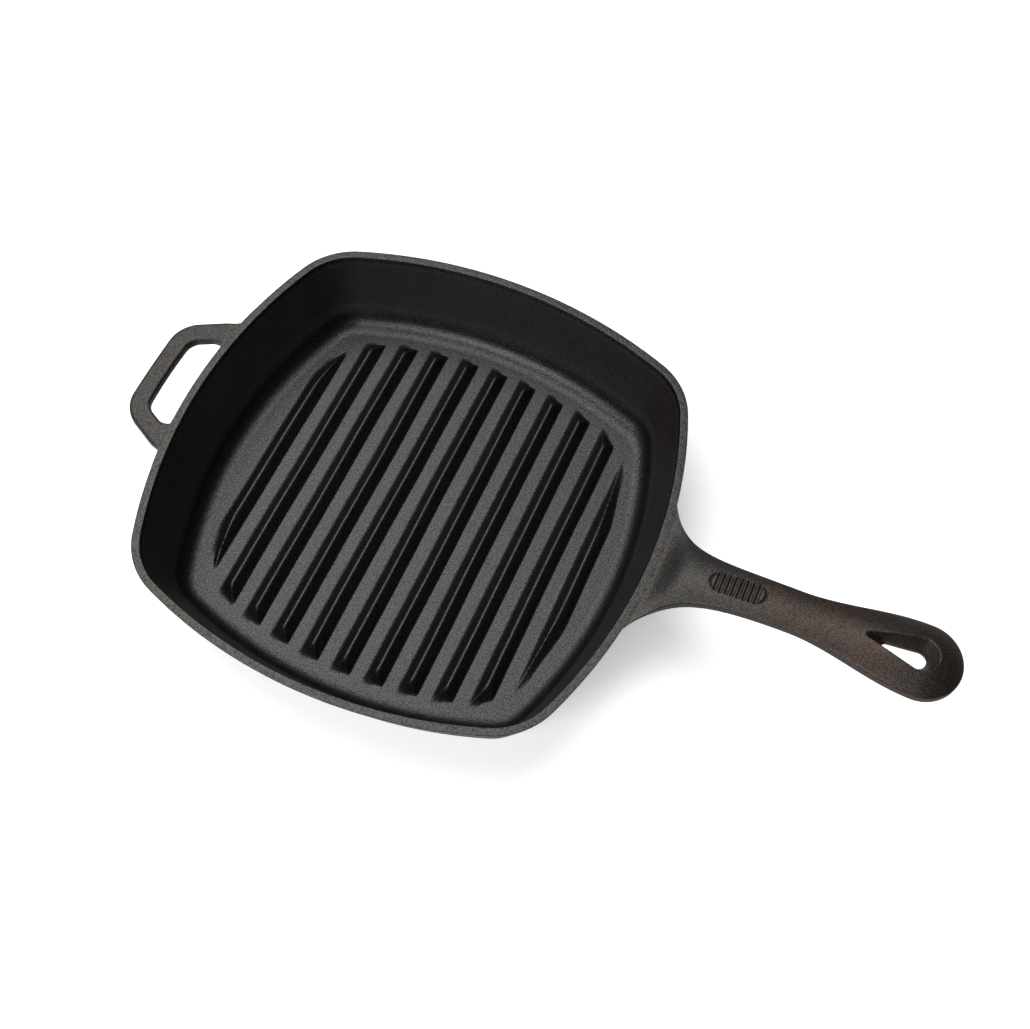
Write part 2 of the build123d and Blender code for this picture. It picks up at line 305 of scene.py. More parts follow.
def arc_points(start, corner, end, steps):
    """A rounded corner in a flat section: a curve from start to end that is drawn to the corner."""
    points = []
    for step in range(steps + 1):
        share = step / steps
        low = [a + (b - a) * share for a, b in zip(start, corner)]
        high = [a + (b - a) * share for a, b in zip(corner, end)]
        points.append(tuple(a + (b - a) * share for a, b in zip(low, high)))
    return points


def round_points(centre, radius, start, end, steps):
    """Points on an arc in a flat section, between two angles in degrees."""
    points = []
    for step in range(steps + 1):
        angle = math.radians(start + (end - start) * step / steps)
        points.append((centre[0] + radius * math.cos(angle), centre[1] + radius * math.sin(angle)))
    return points


# Meshes


SHARP_ANGLE = math.radians(38)
WELD = 0.001 * MM


def new_piece(name, mesh, slot, nodes):
    """A finished piece: smooth faces with crisp edges, a material slot and the nodes that it stands for."""
    mesh.shade_smooth()
    mesh.set_sharp_from_angle(angle=SHARP_ANGLE)
    piece = bpy.data.objects.new(name, mesh)
    bpy.context.scene.collection.objects.link(piece)
    mesh.materials.clear()
    mesh.materials.append(bpy.data.materials[slot])
    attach(piece, BODY)
    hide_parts(*nodes)


def mesh_from(name, points, faces):
    """A mesh with its faces turned outwards."""
    mesh = bpy.data.meshes.new(name)
    mesh.from_pydata(points, [], faces)
    turn_outwards(mesh)
    return mesh


def turn_outwards(mesh):
    """Join points that lie together and turn all faces outwards."""
    shape = bmesh.new()
    shape.from_mesh(mesh)
    bmesh.ops.remove_doubles(shape, verts=shape.verts, dist=WELD)
    bmesh.ops.recalc_face_normals(shape, faces=shape.faces)
    shape.to_mesh(mesh)
    shape.free()


def ring_mesh(name, stations, section_at):
    """Sweep a closed section round the pan, as insets from the rim's outline and heights."""
    points = []
    faces = []
    count = len(stations)
    size = 0
    for centre, radius, direction in stations:
        section = section_at(centre + direction * radius)
        size = len(section)
        for inset, height in section:
            place = centre + direction * (radius - inset)
            points.append((place.x, place.y, height))
    for station in range(count):
        near = station * size
        far = (station + 1) % count * size
        for index in range(size):
            after = (index + 1) % size
            faces.append((near + index, far + index, far + after, near + after))
    return mesh_from(name, points, faces)


def cap_mesh(name, loops):
    """A flat-ended block between loops of points, with a face over each end."""
    points = [point for loop in loops for point in loop]
    size = len(loops[0])
    faces = [tuple(range(size)), tuple(reversed(range(len(points) - size, len(points))))]
    for level in range(len(loops) - 1):
        near = level * size
        far = near + size
        for index in range(size):
            after = (index + 1) % size
            faces.append((near + index, near + after, far + after, far + index))
    return mesh_from(name, points, faces)


# The wall and the rim

HOLLOW_STEPS = 18
BASE_STEPS = 12
RIM_EDGE_STEPS = 7
BEND_LEAD = 0.8 * MM

# The rim's outer edge is sharp where it runs on into the handles, and rounded elsewhere
LONG_ROOT_HALF = 34 * MM
HELPER_ROOT_NEAR = 22 * MM
HELPER_ROOT_FAR = 56 * MM
EDGE_FADE = 5 * MM
LEAST_EDGE = 0.02 * MM
END_SHARE = 0.7


def wall_section(sizes):
    """The leaning wall, its hollow to the floor and its rounded bottom edge."""
    slope = wall_slope(sizes)
    lean = math.atan(slope)
    foot = PAN_TOP * slope
    inner_foot = sizes.rim_width + sizes.wall_flare
    radius = sizes.floor_fillet
    reach = radius * math.tan((math.pi / 2 - lean) / 2)
    floor_edge = inner_foot + reach
    hollow_centre = (floor_edge, FLOOR_TOP + radius)
    hollow = round_points(hollow_centre, radius, 270, 180 + math.degrees(lean), HOLLOW_STEPS)
    edge = sizes.base_edge
    up = (foot - edge * math.sin(lean), edge * math.cos(lean))
    base = arc_points(up, (foot, 0), (foot + edge, 0), BASE_STEPS)
    lean_at_rim = (PAN_TOP - RIM_FOOT) * slope
    outer_top = (lean_at_rim, RIM_FOOT)
    inner_top = (sizes.rim_width + lean_at_rim, RIM_FOOT)
    near_hollow = hollow[-1][1] + BEND_LEAD
    inner_low = (inner_foot - (near_hollow - FLOOR_TOP) * slope, near_hollow)
    outer_low_height = up[1] + BEND_LEAD
    outer_low = (foot - outer_low_height * slope, outer_low_height)
    return [outer_top, outer_low, *base, (floor_edge, 0), *hollow, inner_low, inner_top]


def floor_edge_inset(sizes):
    """From the rim's outline in to where the floor is flat."""
    lean = math.atan(wall_slope(sizes))
    return sizes.rim_width + sizes.wall_flare + sizes.floor_fillet * math.tan((math.pi / 2 - lean) / 2)


def root_fade(place):
    """How far the rim's outer edge is rounded: 0 along the handles' roots, 1 elsewhere."""
    across = abs(place.y)
    if place.x > HALF_WIDTH * END_SHARE:
        return smooth_step((across - LONG_ROOT_HALF) / EDGE_FADE)
    if place.x < -HALF_WIDTH * END_SHARE:
        past_near = smooth_step((across - HELPER_ROOT_NEAR) / EDGE_FADE)
        return 1 - past_near * smooth_step((HELPER_ROOT_FAR - across) / EDGE_FADE)
    return 1


def rim_section(sizes, place):
    """The rim's band: its flat top with rounded edges."""
    slope = wall_slope(sizes)
    lean = (PAN_TOP - RIM_FOOT) * slope
    outer = max(sizes.outer_edge * root_fade(place), LEAST_EDGE)
    inner = sizes.inner_edge
    outer_side = (outer * slope, PAN_TOP - outer)
    inner_side = (sizes.rim_width + inner * slope, PAN_TOP - inner)
    outer_edge = arc_points(outer_side, (0, PAN_TOP), (outer, PAN_TOP), RIM_EDGE_STEPS)
    inner_corner = (sizes.rim_width, PAN_TOP)
    inner_start = (sizes.rim_width - inner, PAN_TOP)
    inner_edge = arc_points(inner_start, inner_corner, inner_side, RIM_EDGE_STEPS)
    outer_low = (outer * 2 * slope, PAN_TOP - outer * 2)
    inner_low = (sizes.rim_width + inner * 2 * slope, PAN_TOP - inner * 2)
    foot = [(sizes.rim_width + lean, RIM_FOOT), (lean, RIM_FOOT)]
    return [outer_low, *outer_edge, *inner_edge, inner_low, *foot]


class GRILLPAN_OT_wall(bpy.types.Operator):
    """Make the leaning wall and the rim"""

    bl_idname = "grillpan.wall"
    bl_label = "Wall and rim"

    def execute(self, context):
        sizes = pan_sizes()
        stations = Outline(sizes).stations(sizes.side_steps, sizes.corner_steps)
        section = wall_section(sizes)
        wall = ring_mesh("wall", stations, lambda place: section)
        new_piece("wall", wall, "cast_iron_wall", ["side_wall"])
        rim = ring_mesh("rim_band", stations, lambda place: rim_section(sizes, place))
        new_piece("rim_band", rim, "cast_iron_wall", ["rim"])
        return {"FINISHED"}


class GRILLPAN_OT_floor_slab(bpy.types.Operator):
    """Make the flat slab that the ribs stand on"""

    bl_idname = "grillpan.floor_slab"
    bl_label = "Floor slab"

    def execute(self, context):
        sizes = pan_sizes()
        inset = floor_edge_inset(sizes)
        loops = []
        for height in (0, FLOOR_TOP):
            loop = []
            for centre, radius, direction in Outline(sizes).stations(sizes.side_steps, sizes.corner_steps):
                place = centre + direction * (radius - inset)
                loop.append((place.x, place.y, height))
            loops.append(loop)
        new_piece("floor_slab", cap_mesh("floor_slab", loops), "cast_iron_floor", ["base_plate"])
        return {"FINISHED"}


# The grill ribs, by geometry nodes


class Sums:
    """Number nodes of one node tree, written as calls."""

    def __init__(self, tree):
        self.tree = tree

    def feed(self, socket, value):
        """Link a socket to a node's output, or write a plain value on it."""
        if isinstance(value, bpy.types.NodeSocket):
            self.tree.links.new(value, socket)
        else:
            socket.default_value = value

    def number(self, operation, *values):
        """One math node."""
        node = self.tree.nodes.new("ShaderNodeMath")
        node.operation = operation
        for socket, value in zip(node.inputs, values):
            self.feed(socket, value)
        return node.outputs[0]

    def add(self, first, second):
        return self.number("ADD", first, second)

    def less(self, first, second):
        return self.number("SUBTRACT", first, second)

    def times(self, first, second):
        return self.number("MULTIPLY", first, second)

    def over(self, first, second):
        return self.number("DIVIDE", first, second)

    def size(self, value):
        return self.number("ABSOLUTE", value)

    def lower(self, first, second, width):
        return self.number("SMOOTH_MIN", first, second, width)

    def higher(self, first, second, width):
        return self.number("SMOOTH_MAX", first, second, width)

    def span(self, first, second):
        """The length of a flat vector."""
        square = self.add(self.times(first, first), self.times(second, second))
        return self.number("SQRT", square)

    def chord(self, radius, across):
        """The other leg of a right triangle in a circle."""
        square = self.less(self.times(radius, radius), self.times(across, across))
        return self.number("SQRT", self.number("MAXIMUM", square, 0))

    def rise(self, value, low, high):
        """Goes smoothly from 0 at one value to 1 at another."""
        node = self.tree.nodes.new("ShaderNodeMapRange")
        node.interpolation_type = "SMOOTHSTEP"
        self.feed(node.inputs["Value"], value)
        self.feed(node.inputs["From Min"], low)
        self.feed(node.inputs["From Max"], high)
        return node.outputs["Result"]

    def choose(self, test, no, yes):
        """One of two numbers, by a test that is 0 or 1."""
        node = self.tree.nodes.new("GeometryNodeSwitch")
        node.input_type = "FLOAT"
        self.feed(node.inputs["Switch"], test)
        self.feed(node.inputs["False"], no)
        self.feed(node.inputs["True"], yes)
        return node.outputs["Output"]

    def node(self, kind, **values):
        """Any other node, with its sockets fed by name."""
        made = self.tree.nodes.new(kind)
        for name, value in values.items():
            self.feed(made.inputs[name.replace("_", " ")], value)
        return made


SOCKET_KINDS = {
    float: "NodeSocketFloat",
    int: "NodeSocketInt",
    bpy.types.Material: "NodeSocketMaterial",
    bpy.types.Object: "NodeSocketObject",
}


def labelled(sizes):
    """A group of sizes as tree inputs: crest_round becomes Crest Round."""
    names = type(sizes).__annotations__
    return {name.replace("_", " ").title(): getattr(sizes, name) for name in names}


def new_tree(name, values):
    """A geometry node tree with a named input for each size, count, object and material."""
    tree = bpy.data.node_groups.new(name, "GeometryNodeTree")
    face = tree.interface
    face.new_socket("Geometry", in_out="INPUT", socket_type="NodeSocketGeometry")
    for label, value in values.items():
        face.new_socket(label, in_out="INPUT", socket_type=SOCKET_KINDS[type(value)])
    face.new_socket("Geometry", in_out="OUTPUT", socket_type="NodeSocketGeometry")
    return tree


def end_tree(tree, sums, geometry, material):
    """Realize the instances, give the material and put the result out."""
    real = sums.node("GeometryNodeRealizeInstances", Geometry=geometry)
    coated = sums.node("GeometryNodeSetMaterial", Geometry=real.outputs[0], Material=material)
    output = tree.nodes.new("NodeGroupOutput")
    tree.links.new(coated.outputs[0], output.inputs[0])


def grown_mesh(name, tree, values):
    """Run a geometry node tree and keep its result as a plain mesh."""
    holder = bpy.data.objects.new(name, bpy.data.meshes.new(name))
    bpy.context.scene.collection.objects.link(holder)
    modifier = holder.modifiers.new(name, "NODES")
    modifier.node_group = tree
    for item in tree.interface.items_tree:
        if item.in_out == "INPUT" and item.name in values:
            modifier[item.identifier] = values[item.name]
    graph = bpy.context.evaluated_depsgraph_get()
    mesh = bpy.data.meshes.new_from_object(holder.evaluated_get(graph))
    holder.modifiers.remove(modifier)
    bpy.data.objects.remove(holder)
    if not mesh.polygons:
        raise RuntimeError(f"the tree of {name} gave no faces")
    return mesh


RIB_SINK = 0.02 * MM
DRIFT_ACROSS = 70.0
DRIFT_ALONG = 9.0
DRIFT_GAIN = 4.0


def rib_tree(values):
    """Ribs in a row: a grid for each, bent to the rib's profile and cut short along the pan's outline."""
    tree = new_tree("grill_rib_row", values)
    sums = Sums(tree)
    given = tree.nodes.new("NodeGroupInput").outputs
    row_length = sums.times(sums.less(given["Count"], 1), given["Pitch"])
    first = sums.add(sums.times(row_length, -0.5), given["Shift"])
    start = sums.node("ShaderNodeCombineXYZ", X=first).outputs[0]
    step = sums.node("ShaderNodeCombineXYZ", X=given["Pitch"]).outputs[0]
    row = sums.node("GeometryNodeMeshLine", Count=given["Count"], Start_Location=start, Offset=step)
    grid = sums.node(
        "GeometryNodeMeshGrid",
        Size_X=2.0,
        Size_Y=2.0,
        Vertices_X=given["Steps Across"],
        Vertices_Y=given["Steps Along"],
    )
    position = tree.nodes.new("GeometryNodeInputPosition").outputs[0]
    kept = tree.nodes.new("GeometryNodeCaptureAttribute")
    kept.capture_items.new("VECTOR", "Unit Place")
    tree.links.new(grid.outputs["Mesh"], kept.inputs["Geometry"])
    tree.links.new(position, kept.inputs["Unit Place"])
    places = row.outputs["Mesh"]
    rows = sums.node("GeometryNodeInstanceOnPoints", Points=places, Instance=kept.outputs["Geometry"])
    real = sums.node("GeometryNodeRealizeInstances", Geometry=rows.outputs[0])
    unit = sums.node("ShaderNodeSeparateXYZ", Vector=kept.outputs["Unit Place"]).outputs
    here = sums.node("ShaderNodeSeparateXYZ", Vector=position).outputs
    middle = sums.less(here["X"], unit["X"])
    across = sums.times(unit["X"], given["Half Reach"])
    x = sums.add(middle, across)
    hollow_reach = sums.over(given["Foot Round"], given["End Slope"])
    end = rib_end(sums, given, sums.size(x), sums.less(given["Margin"], hollow_reach))
    turn = sums.number("SINE", sums.times(unit["Y"], math.pi / 2))
    y = sums.times(turn, end)
    seed_x = sums.times(middle, DRIFT_ACROSS)
    seed = sums.node("ShaderNodeCombineXYZ", X=seed_x, Y=sums.times(y, DRIFT_ALONG)).outputs[0]
    drift = sums.node("ShaderNodeTexNoise", Vector=seed, Scale=1.0, Detail=1.0).outputs["Fac"]
    stray = sums.times(sums.times(sums.less(drift, 0.5), DRIFT_GAIN), given["Wander"])
    from_crest = sums.less(sums.span(sums.less(across, stray), given["Crest Round"]), given["Crest Round"])
    flank = sums.less(given["Height"], sums.times(from_crest, given["Flank Slope"]))
    from_end = sums.less(pan_inset(sums, given, x, y), given["Margin"])
    ending = sums.times(from_end, given["End Slope"])
    crested = sums.lower(flank, ending, given["End Round"])
    right = sums.rise(across, sums.times(given["Crest Round"], -1.0), given["Crest Round"])
    narrowing = sums.times(right, sums.less(given["Foot Round"], given["Right Foot"]))
    height = sums.higher(crested, 0, sums.less(given["Foot Round"], narrowing))
    base_z = sums.less(given["Foot Height"], RIB_SINK)
    top_z = sums.add(base_z, sums.number("MAXIMUM", height, 0))
    top_place = sums.node("ShaderNodeCombineXYZ", X=x, Y=y, Z=top_z).outputs[0]
    low_place = sums.node("ShaderNodeCombineXYZ", X=x, Y=y, Z=base_z).outputs[0]
    top = sums.node("GeometryNodeSetPosition", Geometry=real.outputs[0], Position=top_place)
    low = sums.node("GeometryNodeSetPosition", Geometry=real.outputs[0], Position=low_place)
    turned = sums.node("GeometryNodeFlipFaces", Mesh=low.outputs[0])
    both = tree.nodes.new("GeometryNodeJoinGeometry")
    tree.links.new(top.outputs[0], both.inputs[0])
    tree.links.new(turned.outputs[0], both.inputs[0])
    closed = sums.node("GeometryNodeMergeByDistance", Geometry=both.outputs[0], Distance=WELD)
    end_tree(tree, sums, closed.outputs[0], given["Material"])
    return tree


def rib_end(sums, given, x, margin):
    """How far along Y the pan's outline, moved in by a margin, lies at a distance x from the middle."""
    side = sums.less(given["Side Radius"], margin)
    corner = sums.less(given["Corner Radius"], margin)
    past_corner = sums.less(x, given["Corner Centre"])
    on_side = sums.add(given["Side Centre"], sums.chord(side, x))
    on_corner = sums.add(given["Corner Centre"], sums.chord(corner, past_corner))
    on_end = sums.chord(side, sums.less(x, given["Side Centre"]))
    first = sums.times(corner, sums.number("SINE", given["Half Angle"]))
    last = sums.times(corner, sums.number("COSINE", given["Half Angle"]))
    in_corner = sums.number("GREATER_THAN", past_corner, first)
    at_end = sums.number("GREATER_THAN", past_corner, last)
    return sums.choose(at_end, sums.choose(in_corner, on_side, on_corner), on_end)


def pan_inset(sums, given, x, y):
    """How far inside the rim's outline a place lies."""
    wide = sums.number("MAXIMUM", sums.size(x), sums.size(y))
    narrow = sums.number("MINIMUM", sums.size(x), sums.size(y))
    from_side = sums.less(wide, given["Side Centre"])
    from_corner = sums.less(wide, given["Corner Centre"])
    over_corner = sums.less(narrow, given["Corner Centre"])
    angle = sums.number("ARCTAN2", narrow, from_side)
    in_corner = sums.number("GREATER_THAN", angle, given["Half Angle"])
    side = sums.less(given["Side Radius"], sums.span(from_side, narrow))
    corner = sums.less(given["Corner Radius"], sums.span(from_corner, over_corner))
    return sums.choose(in_corner, side, corner)


class GRILLPAN_OT_ribs(bpy.types.Operator):
    """Make the row of grill ribs"""

    bl_idname = "grillpan.ribs"
    bl_label = "Grill ribs"

    def execute(self, context):
        sizes = context.scene.grill_rib_sizes
        outline = Outline(pan_sizes())
        outline.round_corners(sizes.corner_radius)
        values = {
            **labelled(sizes),
            "Pitch": RIB_PITCH,
            "Height": MIDDLE_RIB_BOX[1].z - FLOOR_TOP,
            "Foot Height": FLOOR_TOP,
            "Side Radius": outline.side_radius,
            "Side Centre": outline.side_centre,
            "Corner Centre": outline.corner_centre,
            "Half Angle": outline.half_angle,
            "Count": len(RIB_NODES),
            "Material": bpy.data.materials["cast_iron_floor"],
        }
        mesh = grown_mesh("grill_ribs", rib_tree(values), values)
        new_piece("grill_ribs", mesh, "cast_iron_floor", RIB_NODES)
        return {"FINISHED"}


# The helper handle

HELPER_ARC_STEPS = 20
HELPER_RUN_COUNTS = (12, 14, 14)
HELPER_CUTS = 90
HELPER_TOP_STEPS = 10
HELPER_EDGE_STEPS = 6
HELPER_ROOT_EDGE = 0.3 * MM
HELPER_FADE = 6 * MM
RIM_HALVINGS = 40


def rounded_path(corners, radii, steps):
    """A flat path through corners, each corner but the first and last rounded by an arc."""
    path = [corners[0]]
    for before, corner, after, radius in zip(corners, corners[1:], corners[2:], radii):
        back = (before - corner).normalized()
        ahead = (after - corner).normalized()
        half = back.angle(ahead) / 2
        reach = radius / math.tan(half)
        centre = corner + (back + ahead).normalized() * (radius / math.sin(half))
        start = corner + back * reach - centre
        end = corner + ahead * reach - centre
        for step in range(steps + 1):
            share = step / steps
            sweep = start.angle(end)
            low = math.sin((1 - share) * sweep) / math.sin(sweep)
            high = math.sin(share * sweep) / math.sin(sweep)
            path.append(centre + start * low + end * high)
    path.append(corners[-1])
    return path


def even_path(path, counts, steps):
    """Divide the straight runs of a rounded path; its arcs already have their points."""
    points = []
    for run, count in enumerate(counts):
        start = path[run * (steps + 1)]
        end = path[run * (steps + 1) + 1]
        for step in range(count):
            points.append(start.lerp(end, step / count))
        if run < len(counts) - 1:
            first = run * (steps + 1) + 1
            points.extend(path[first:first + steps])
    points.append(path[-1])
    return points


def cut_at_rim(path, outline):
    """End a path where it crosses the rim's outline on the helper handle's side."""
    for index in range(1, len(path)):
        before = path[index - 1]
        after = path[index]
        if after.x > -outline.reach(after.y):
            low = 0.0
            high = 1.0
            for _ in range(RIM_HALVINGS):
                middle = (low + high) / 2
                place = before.lerp(after, middle)
                if place.x > -outline.reach(place.y):
                    high = middle
                else:
                    low = middle
            return [*path[:index], before.lerp(after, low)]
    raise RuntimeError("the helper handle's outline doesn't reach the rim")


def spread(path, count):
    """The same path with evenly spaced points."""
    lengths = [0.0]
    for before, after in zip(path, path[1:]):
        lengths.append(lengths[-1] + (after - before).length)
    points = []
    index = 0
    for step in range(count + 1):
        target = lengths[-1] * step / count
        while index < len(path) - 2 and lengths[index + 1] < target:
            index += 1
        run = lengths[index + 1] - lengths[index]
        points.append(path[index].lerp(path[index + 1], (target - lengths[index]) / run))
    return points


def helper_paths(sizes, outline):
    """The helper handle's outer and slot outlines on one side, as matched points."""
    half_root = sizes.root_width / 2
    half_end = sizes.end_width / 2
    end = HELPER_BOX[0].x + sizes.bow
    root = -outline.reach(half_root)
    inside = -HALF_WIDTH + sizes.seat
    slope = (half_root - half_end) / (root - end)
    half_arm = half_end - sizes.arm_width * math.hypot(1, slope)
    slot_root = -HALF_WIDTH - sizes.slot_clear
    slot_end = end + sizes.bar_width
    half_slot_root = half_arm + (slot_root - end) * slope
    half_slot_end = half_arm + (slot_end - end) * slope
    outer = [
        Vector((end, 0)),
        Vector((end, half_end)),
        Vector((root, half_root)),
        Vector((inside, half_root + sizes.root_spread)),
    ]
    slot = [
        Vector((slot_end, 0)),
        Vector((slot_end, half_slot_end)),
        Vector((slot_root, half_slot_root)),
        Vector((inside, half_slot_root - sizes.slot_narrowing)),
    ]
    bar = (half_end, half_slot_end)
    radii = ((sizes.end_radius, sizes.root_radius), (sizes.slot_end_radius, sizes.slot_root_radius))
    paths = []
    for corners, half, radius in zip((outer, slot), bar, radii):
        path = rounded_path(corners, radius, HELPER_ARC_STEPS)
        path = even_path(path, HELPER_RUN_COUNTS, HELPER_ARC_STEPS)
        path = cut_at_rim(path, outline)
        bowed = []
        for point in path:
            bow = sizes.bow * max(1 - (point.y / half)**2, 0)
            bowed.append(Vector((point.x - bow, point.y)))
        paths.append(bowed)
    return paths


def helper_loop(inner, outer, sizes, outline, share):
    """One cut across the helper handle, as points in space. Share is 1 at the rim and 0 away from it."""
    thickness = PAN_TOP - HELPER_BOX[0].z
    width = (outer - inner).length
    edge = min(sizes.edge, width / 3)
    top_edge = edge * (1 - share) + HELPER_ROOT_EDGE * share
    low = PAN_TOP - thickness
    right_top = (width, PAN_TOP - top_edge)
    section = arc_points((0, PAN_TOP - top_edge), (0, PAN_TOP), (top_edge, PAN_TOP), HELPER_EDGE_STEPS)
    for step in range(1, HELPER_TOP_STEPS):
        section.append((top_edge + (width - 2 * top_edge) * step / HELPER_TOP_STEPS, PAN_TOP))
    section += arc_points((width - top_edge, PAN_TOP), (width, PAN_TOP), right_top, HELPER_EDGE_STEPS)
    section += arc_points((width, low + edge), (width, low), (width - edge, low), HELPER_EDGE_STEPS)
    for step in range(1, HELPER_TOP_STEPS):
        section.append((width - edge - (width - 2 * edge) * step / HELPER_TOP_STEPS, low))
    section += arc_points((edge, low), (0, low), (0, low + edge), HELPER_EDGE_STEPS)
    along = (outer - inner).normalized()
    slope = wall_slope(pan_sizes())
    points = []
    for distance, height in section:
        place = inner + along * distance
        if share > 0:
            wall = -outline.reach(place.y) + (PAN_TOP - height) * slope
            place.x += (wall - place.x) * share
        points.append((place.x, place.y, height))
    return points


def helper_mesh(sizes, outline):
    """The loop handle: cuts along it from one root to the other, with a hidden face on each root."""
    outer, slot = helper_paths(sizes, outline)
    outer = spread(outer, HELPER_CUTS)
    slot = spread(slot, HELPER_CUTS)
    half = []
    for inner_point, outer_point in zip(slot, outer):
        middle = (inner_point + outer_point) / 2
        away = -outline.reach(middle.y) - middle.x
        share = smooth_step(1 - away / HELPER_FADE)
        if inner_point is slot[-1]:
            share = 1
        half.append(helper_loop(inner_point, outer_point, sizes, outline, share))
    other = [[(x, -y, z) for x, y, z in loop] for loop in half]
    return cap_mesh("helper_loop", [*reversed(other), *half[1:]])


class GRILLPAN_OT_helper_handle(bpy.types.Operator):
    """Make the short helper handle"""

    bl_idname = "grillpan.helper_handle"
    bl_label = "Helper handle"

    def execute(self, context):
        sizes = context.scene.grill_helper_sizes
        mesh = helper_mesh(sizes, Outline(pan_sizes()))
        new_piece("helper_loop", mesh, "cast_iron_handles", ["helper_handle"])
        return {"FINISHED"}


# The long handle

RIM_FADE = 8 * MM
ROOT_RUN = 14 * MM
SAG_ROUNDS = 30
CROWN_LIMIT = 1.2
RECESS_REACH = 2.4
RECESS_HALVINGS = 24
LEAST_TIP = 0.2 * MM
POCKET_START_SHARE = 2.6
POCKET_DEPTH_SHARE = 0.55

# How far before the hole's tip and its straight side the handle's own outline is divided
PLAIN_LEAD = 23 * MM
TIP_LEAD = 6 * MM
LINE_LEAD = 3 * MM

# Stations along the handle: its plain stretch, the run up to the hole, its tip, its side and its end
PLAIN_STEPS = 190
LEAD_STEPS = 44
TIP_STEPS = 20
LINE_STEPS = 34
END_STEPS = 56

# Points in one line over the handle
ACROSS_STEPS = 46
UNDER_STEPS = 18
HOLE_STEPS = 4
UPPER_EDGE_STEPS = 6
LOWER_EDGE_STEPS = 8


class Tear:
    """A pointed outline between two circles on the handle's middle line."""

    def __init__(self, big_x, big_radius, small_x, small_radius):
        self.big_x = big_x
        self.big_radius = big_radius
        self.small_x = small_x
        self.small_radius = small_radius
        self.lean = math.asin((big_radius - small_radius) / (big_x - small_x))

    def gap(self, x, y):
        """How far outside the outline a place lies."""
        reach = self.big_x - self.small_x
        back = self.big_x - x
        across = abs(y)
        sine = (self.big_radius - self.small_radius) / reach
        cosine = math.sqrt(1 - sine * sine)
        along = back * cosine - across * sine
        if along < 0:
            return math.hypot(back, across) - self.big_radius
        if along > cosine * reach:
            return math.hypot(back - reach, across) - self.small_radius
        return across * cosine + back * sine - self.big_radius


class HandleShape:
    """The long handle's plan, its heights and its hanging hole, as formulas."""

    def __init__(self, sizes, outline, pocket=None):
        self.sizes = sizes
        self.outline = outline
        self.pocket = pocket
        self.end_half = sizes.end_width / 2
        self.end_centre = HANDLE_BOX[1].x - self.end_half
        self.span = self.end_centre - HALF_WIDTH
        self.hole_x = self.end_centre - sizes.hole_setback
        self.recess_top, _, end_bottom = self.heights(self.end_centre)
        self.waist = end_bottom + sizes.lower_depth

    def half_width(self, x):
        """Half the handle's width at a place along X."""
        sizes = self.sizes
        out = x - HALF_WIDTH
        root = sizes.root_spread * math.exp(-out / sizes.root_blend)
        belly = self.end_half - sizes.neck_width / 2
        run = (out - sizes.belly_start) / (self.span - sizes.belly_start)
        run = min(max(run, 0), 1)
        return sizes.neck_width / 2 + root + belly * (1 - math.cos(math.pi * run)) / 2

    def heights(self, x):
        """Heights of the crest, the upper edge and the underside at a place along X."""
        sizes = self.sizes
        out = min(max(x - HALF_WIDTH, 0), self.span)
        eased_share = (math.hypot(out, sizes.root_ease) - sizes.root_ease) / self.span
        rise = sizes.edge_rise * (1 - (1 - eased_share) ** sizes.curve_share)
        edge = PAN_TOP - sizes.edge_drop + rise
        crown = self.half_width(HALF_WIDTH + out) ** 2 / (2 * sizes.crown_radius)
        blend = 1 - math.exp(-((out / sizes.root_blend) ** 2))
        crest = edge + sizes.root_crown + (crown - sizes.root_crown) * blend
        return crest, edge, edge - sizes.side_height - sizes.lower_depth

    def level_x(self, x, y):
        """The place along X whose section holds a point near the bowed rim."""
        rim = self.outline.reach(min(abs(y), HALF_WIDTH / 2))
        return x + (HALF_WIDTH - rim) * math.exp(-((max(x - rim, 0) / RIM_FADE) ** 2))

    def recess_height(self, x, y):
        """Height of the recess's sloping wall round the hanging hole."""
        low = 0.0
        high = RECESS_REACH
        if self.tear(high).gap(x, y) > 0:
            return PAN_TOP * 2
        for _ in range(RECESS_HALVINGS):
            middle = (low + high) / 2
            if self.tear(middle).gap(x, y) > 0:
                low = middle
            else:
                high = middle
        return self.waist + (self.recess_top - self.waist) * high

    def tear(self, level):
        """The hole's outline at a level: 0 at its waist, 1 at the handle's crest."""
        sizes = self.sizes
        big = (sizes.hole_width + (sizes.recess_width - sizes.hole_width) * level) / 2
        small = max(sizes.hole_tip + (sizes.recess_tip - sizes.hole_tip) * level, LEAST_TIP) / 2
        whole = sizes.hole_length + (sizes.recess_length - sizes.hole_length) * level
        return Tear(self.hole_x, big, self.hole_x - (whole - big - small), small)

    def top(self, x, y):
        """Height of the handle's top, with the recess."""
        rho = math.hypot(x - self.end_centre, y) if x > self.end_centre else abs(y)
        place = min(self.level_x(x, y), self.end_centre)
        crest, edge, _ = self.heights(place)
        half = self.half_width(place)
        height = crest - (crest - edge) * min(rho / half, CROWN_LIMIT) ** 2
        if x > self.hole_x - self.sizes.recess_length:
            height = smooth_min(height, self.recess_height(x, y), self.sizes.recess_edge)
        return height - self.pocket_depth(x, y)

    def pocket_depth(self, x, y):
        """How far the bed of the thumb rest lies under the handle's skin."""
        if self.pocket is None:
            return 0
        pad = self.pocket
        radius = pad.pad_width / 2
        past = max(abs(x - HALF_WIDTH - pad.place) - (pad.pad_length / 2 - radius), 0)
        from_edge = radius - math.hypot(past, y)
        start = POCKET_START_SHARE * pad.border
        return smooth_step((from_edge - start) / pad.border) * pad.skirt * POCKET_DEPTH_SHARE

    def side(self, x, y):
        """Heights of the upper edge and the underside on the handle's outline."""
        return self.heights(min(self.level_x(x, y), self.end_centre))[1:]


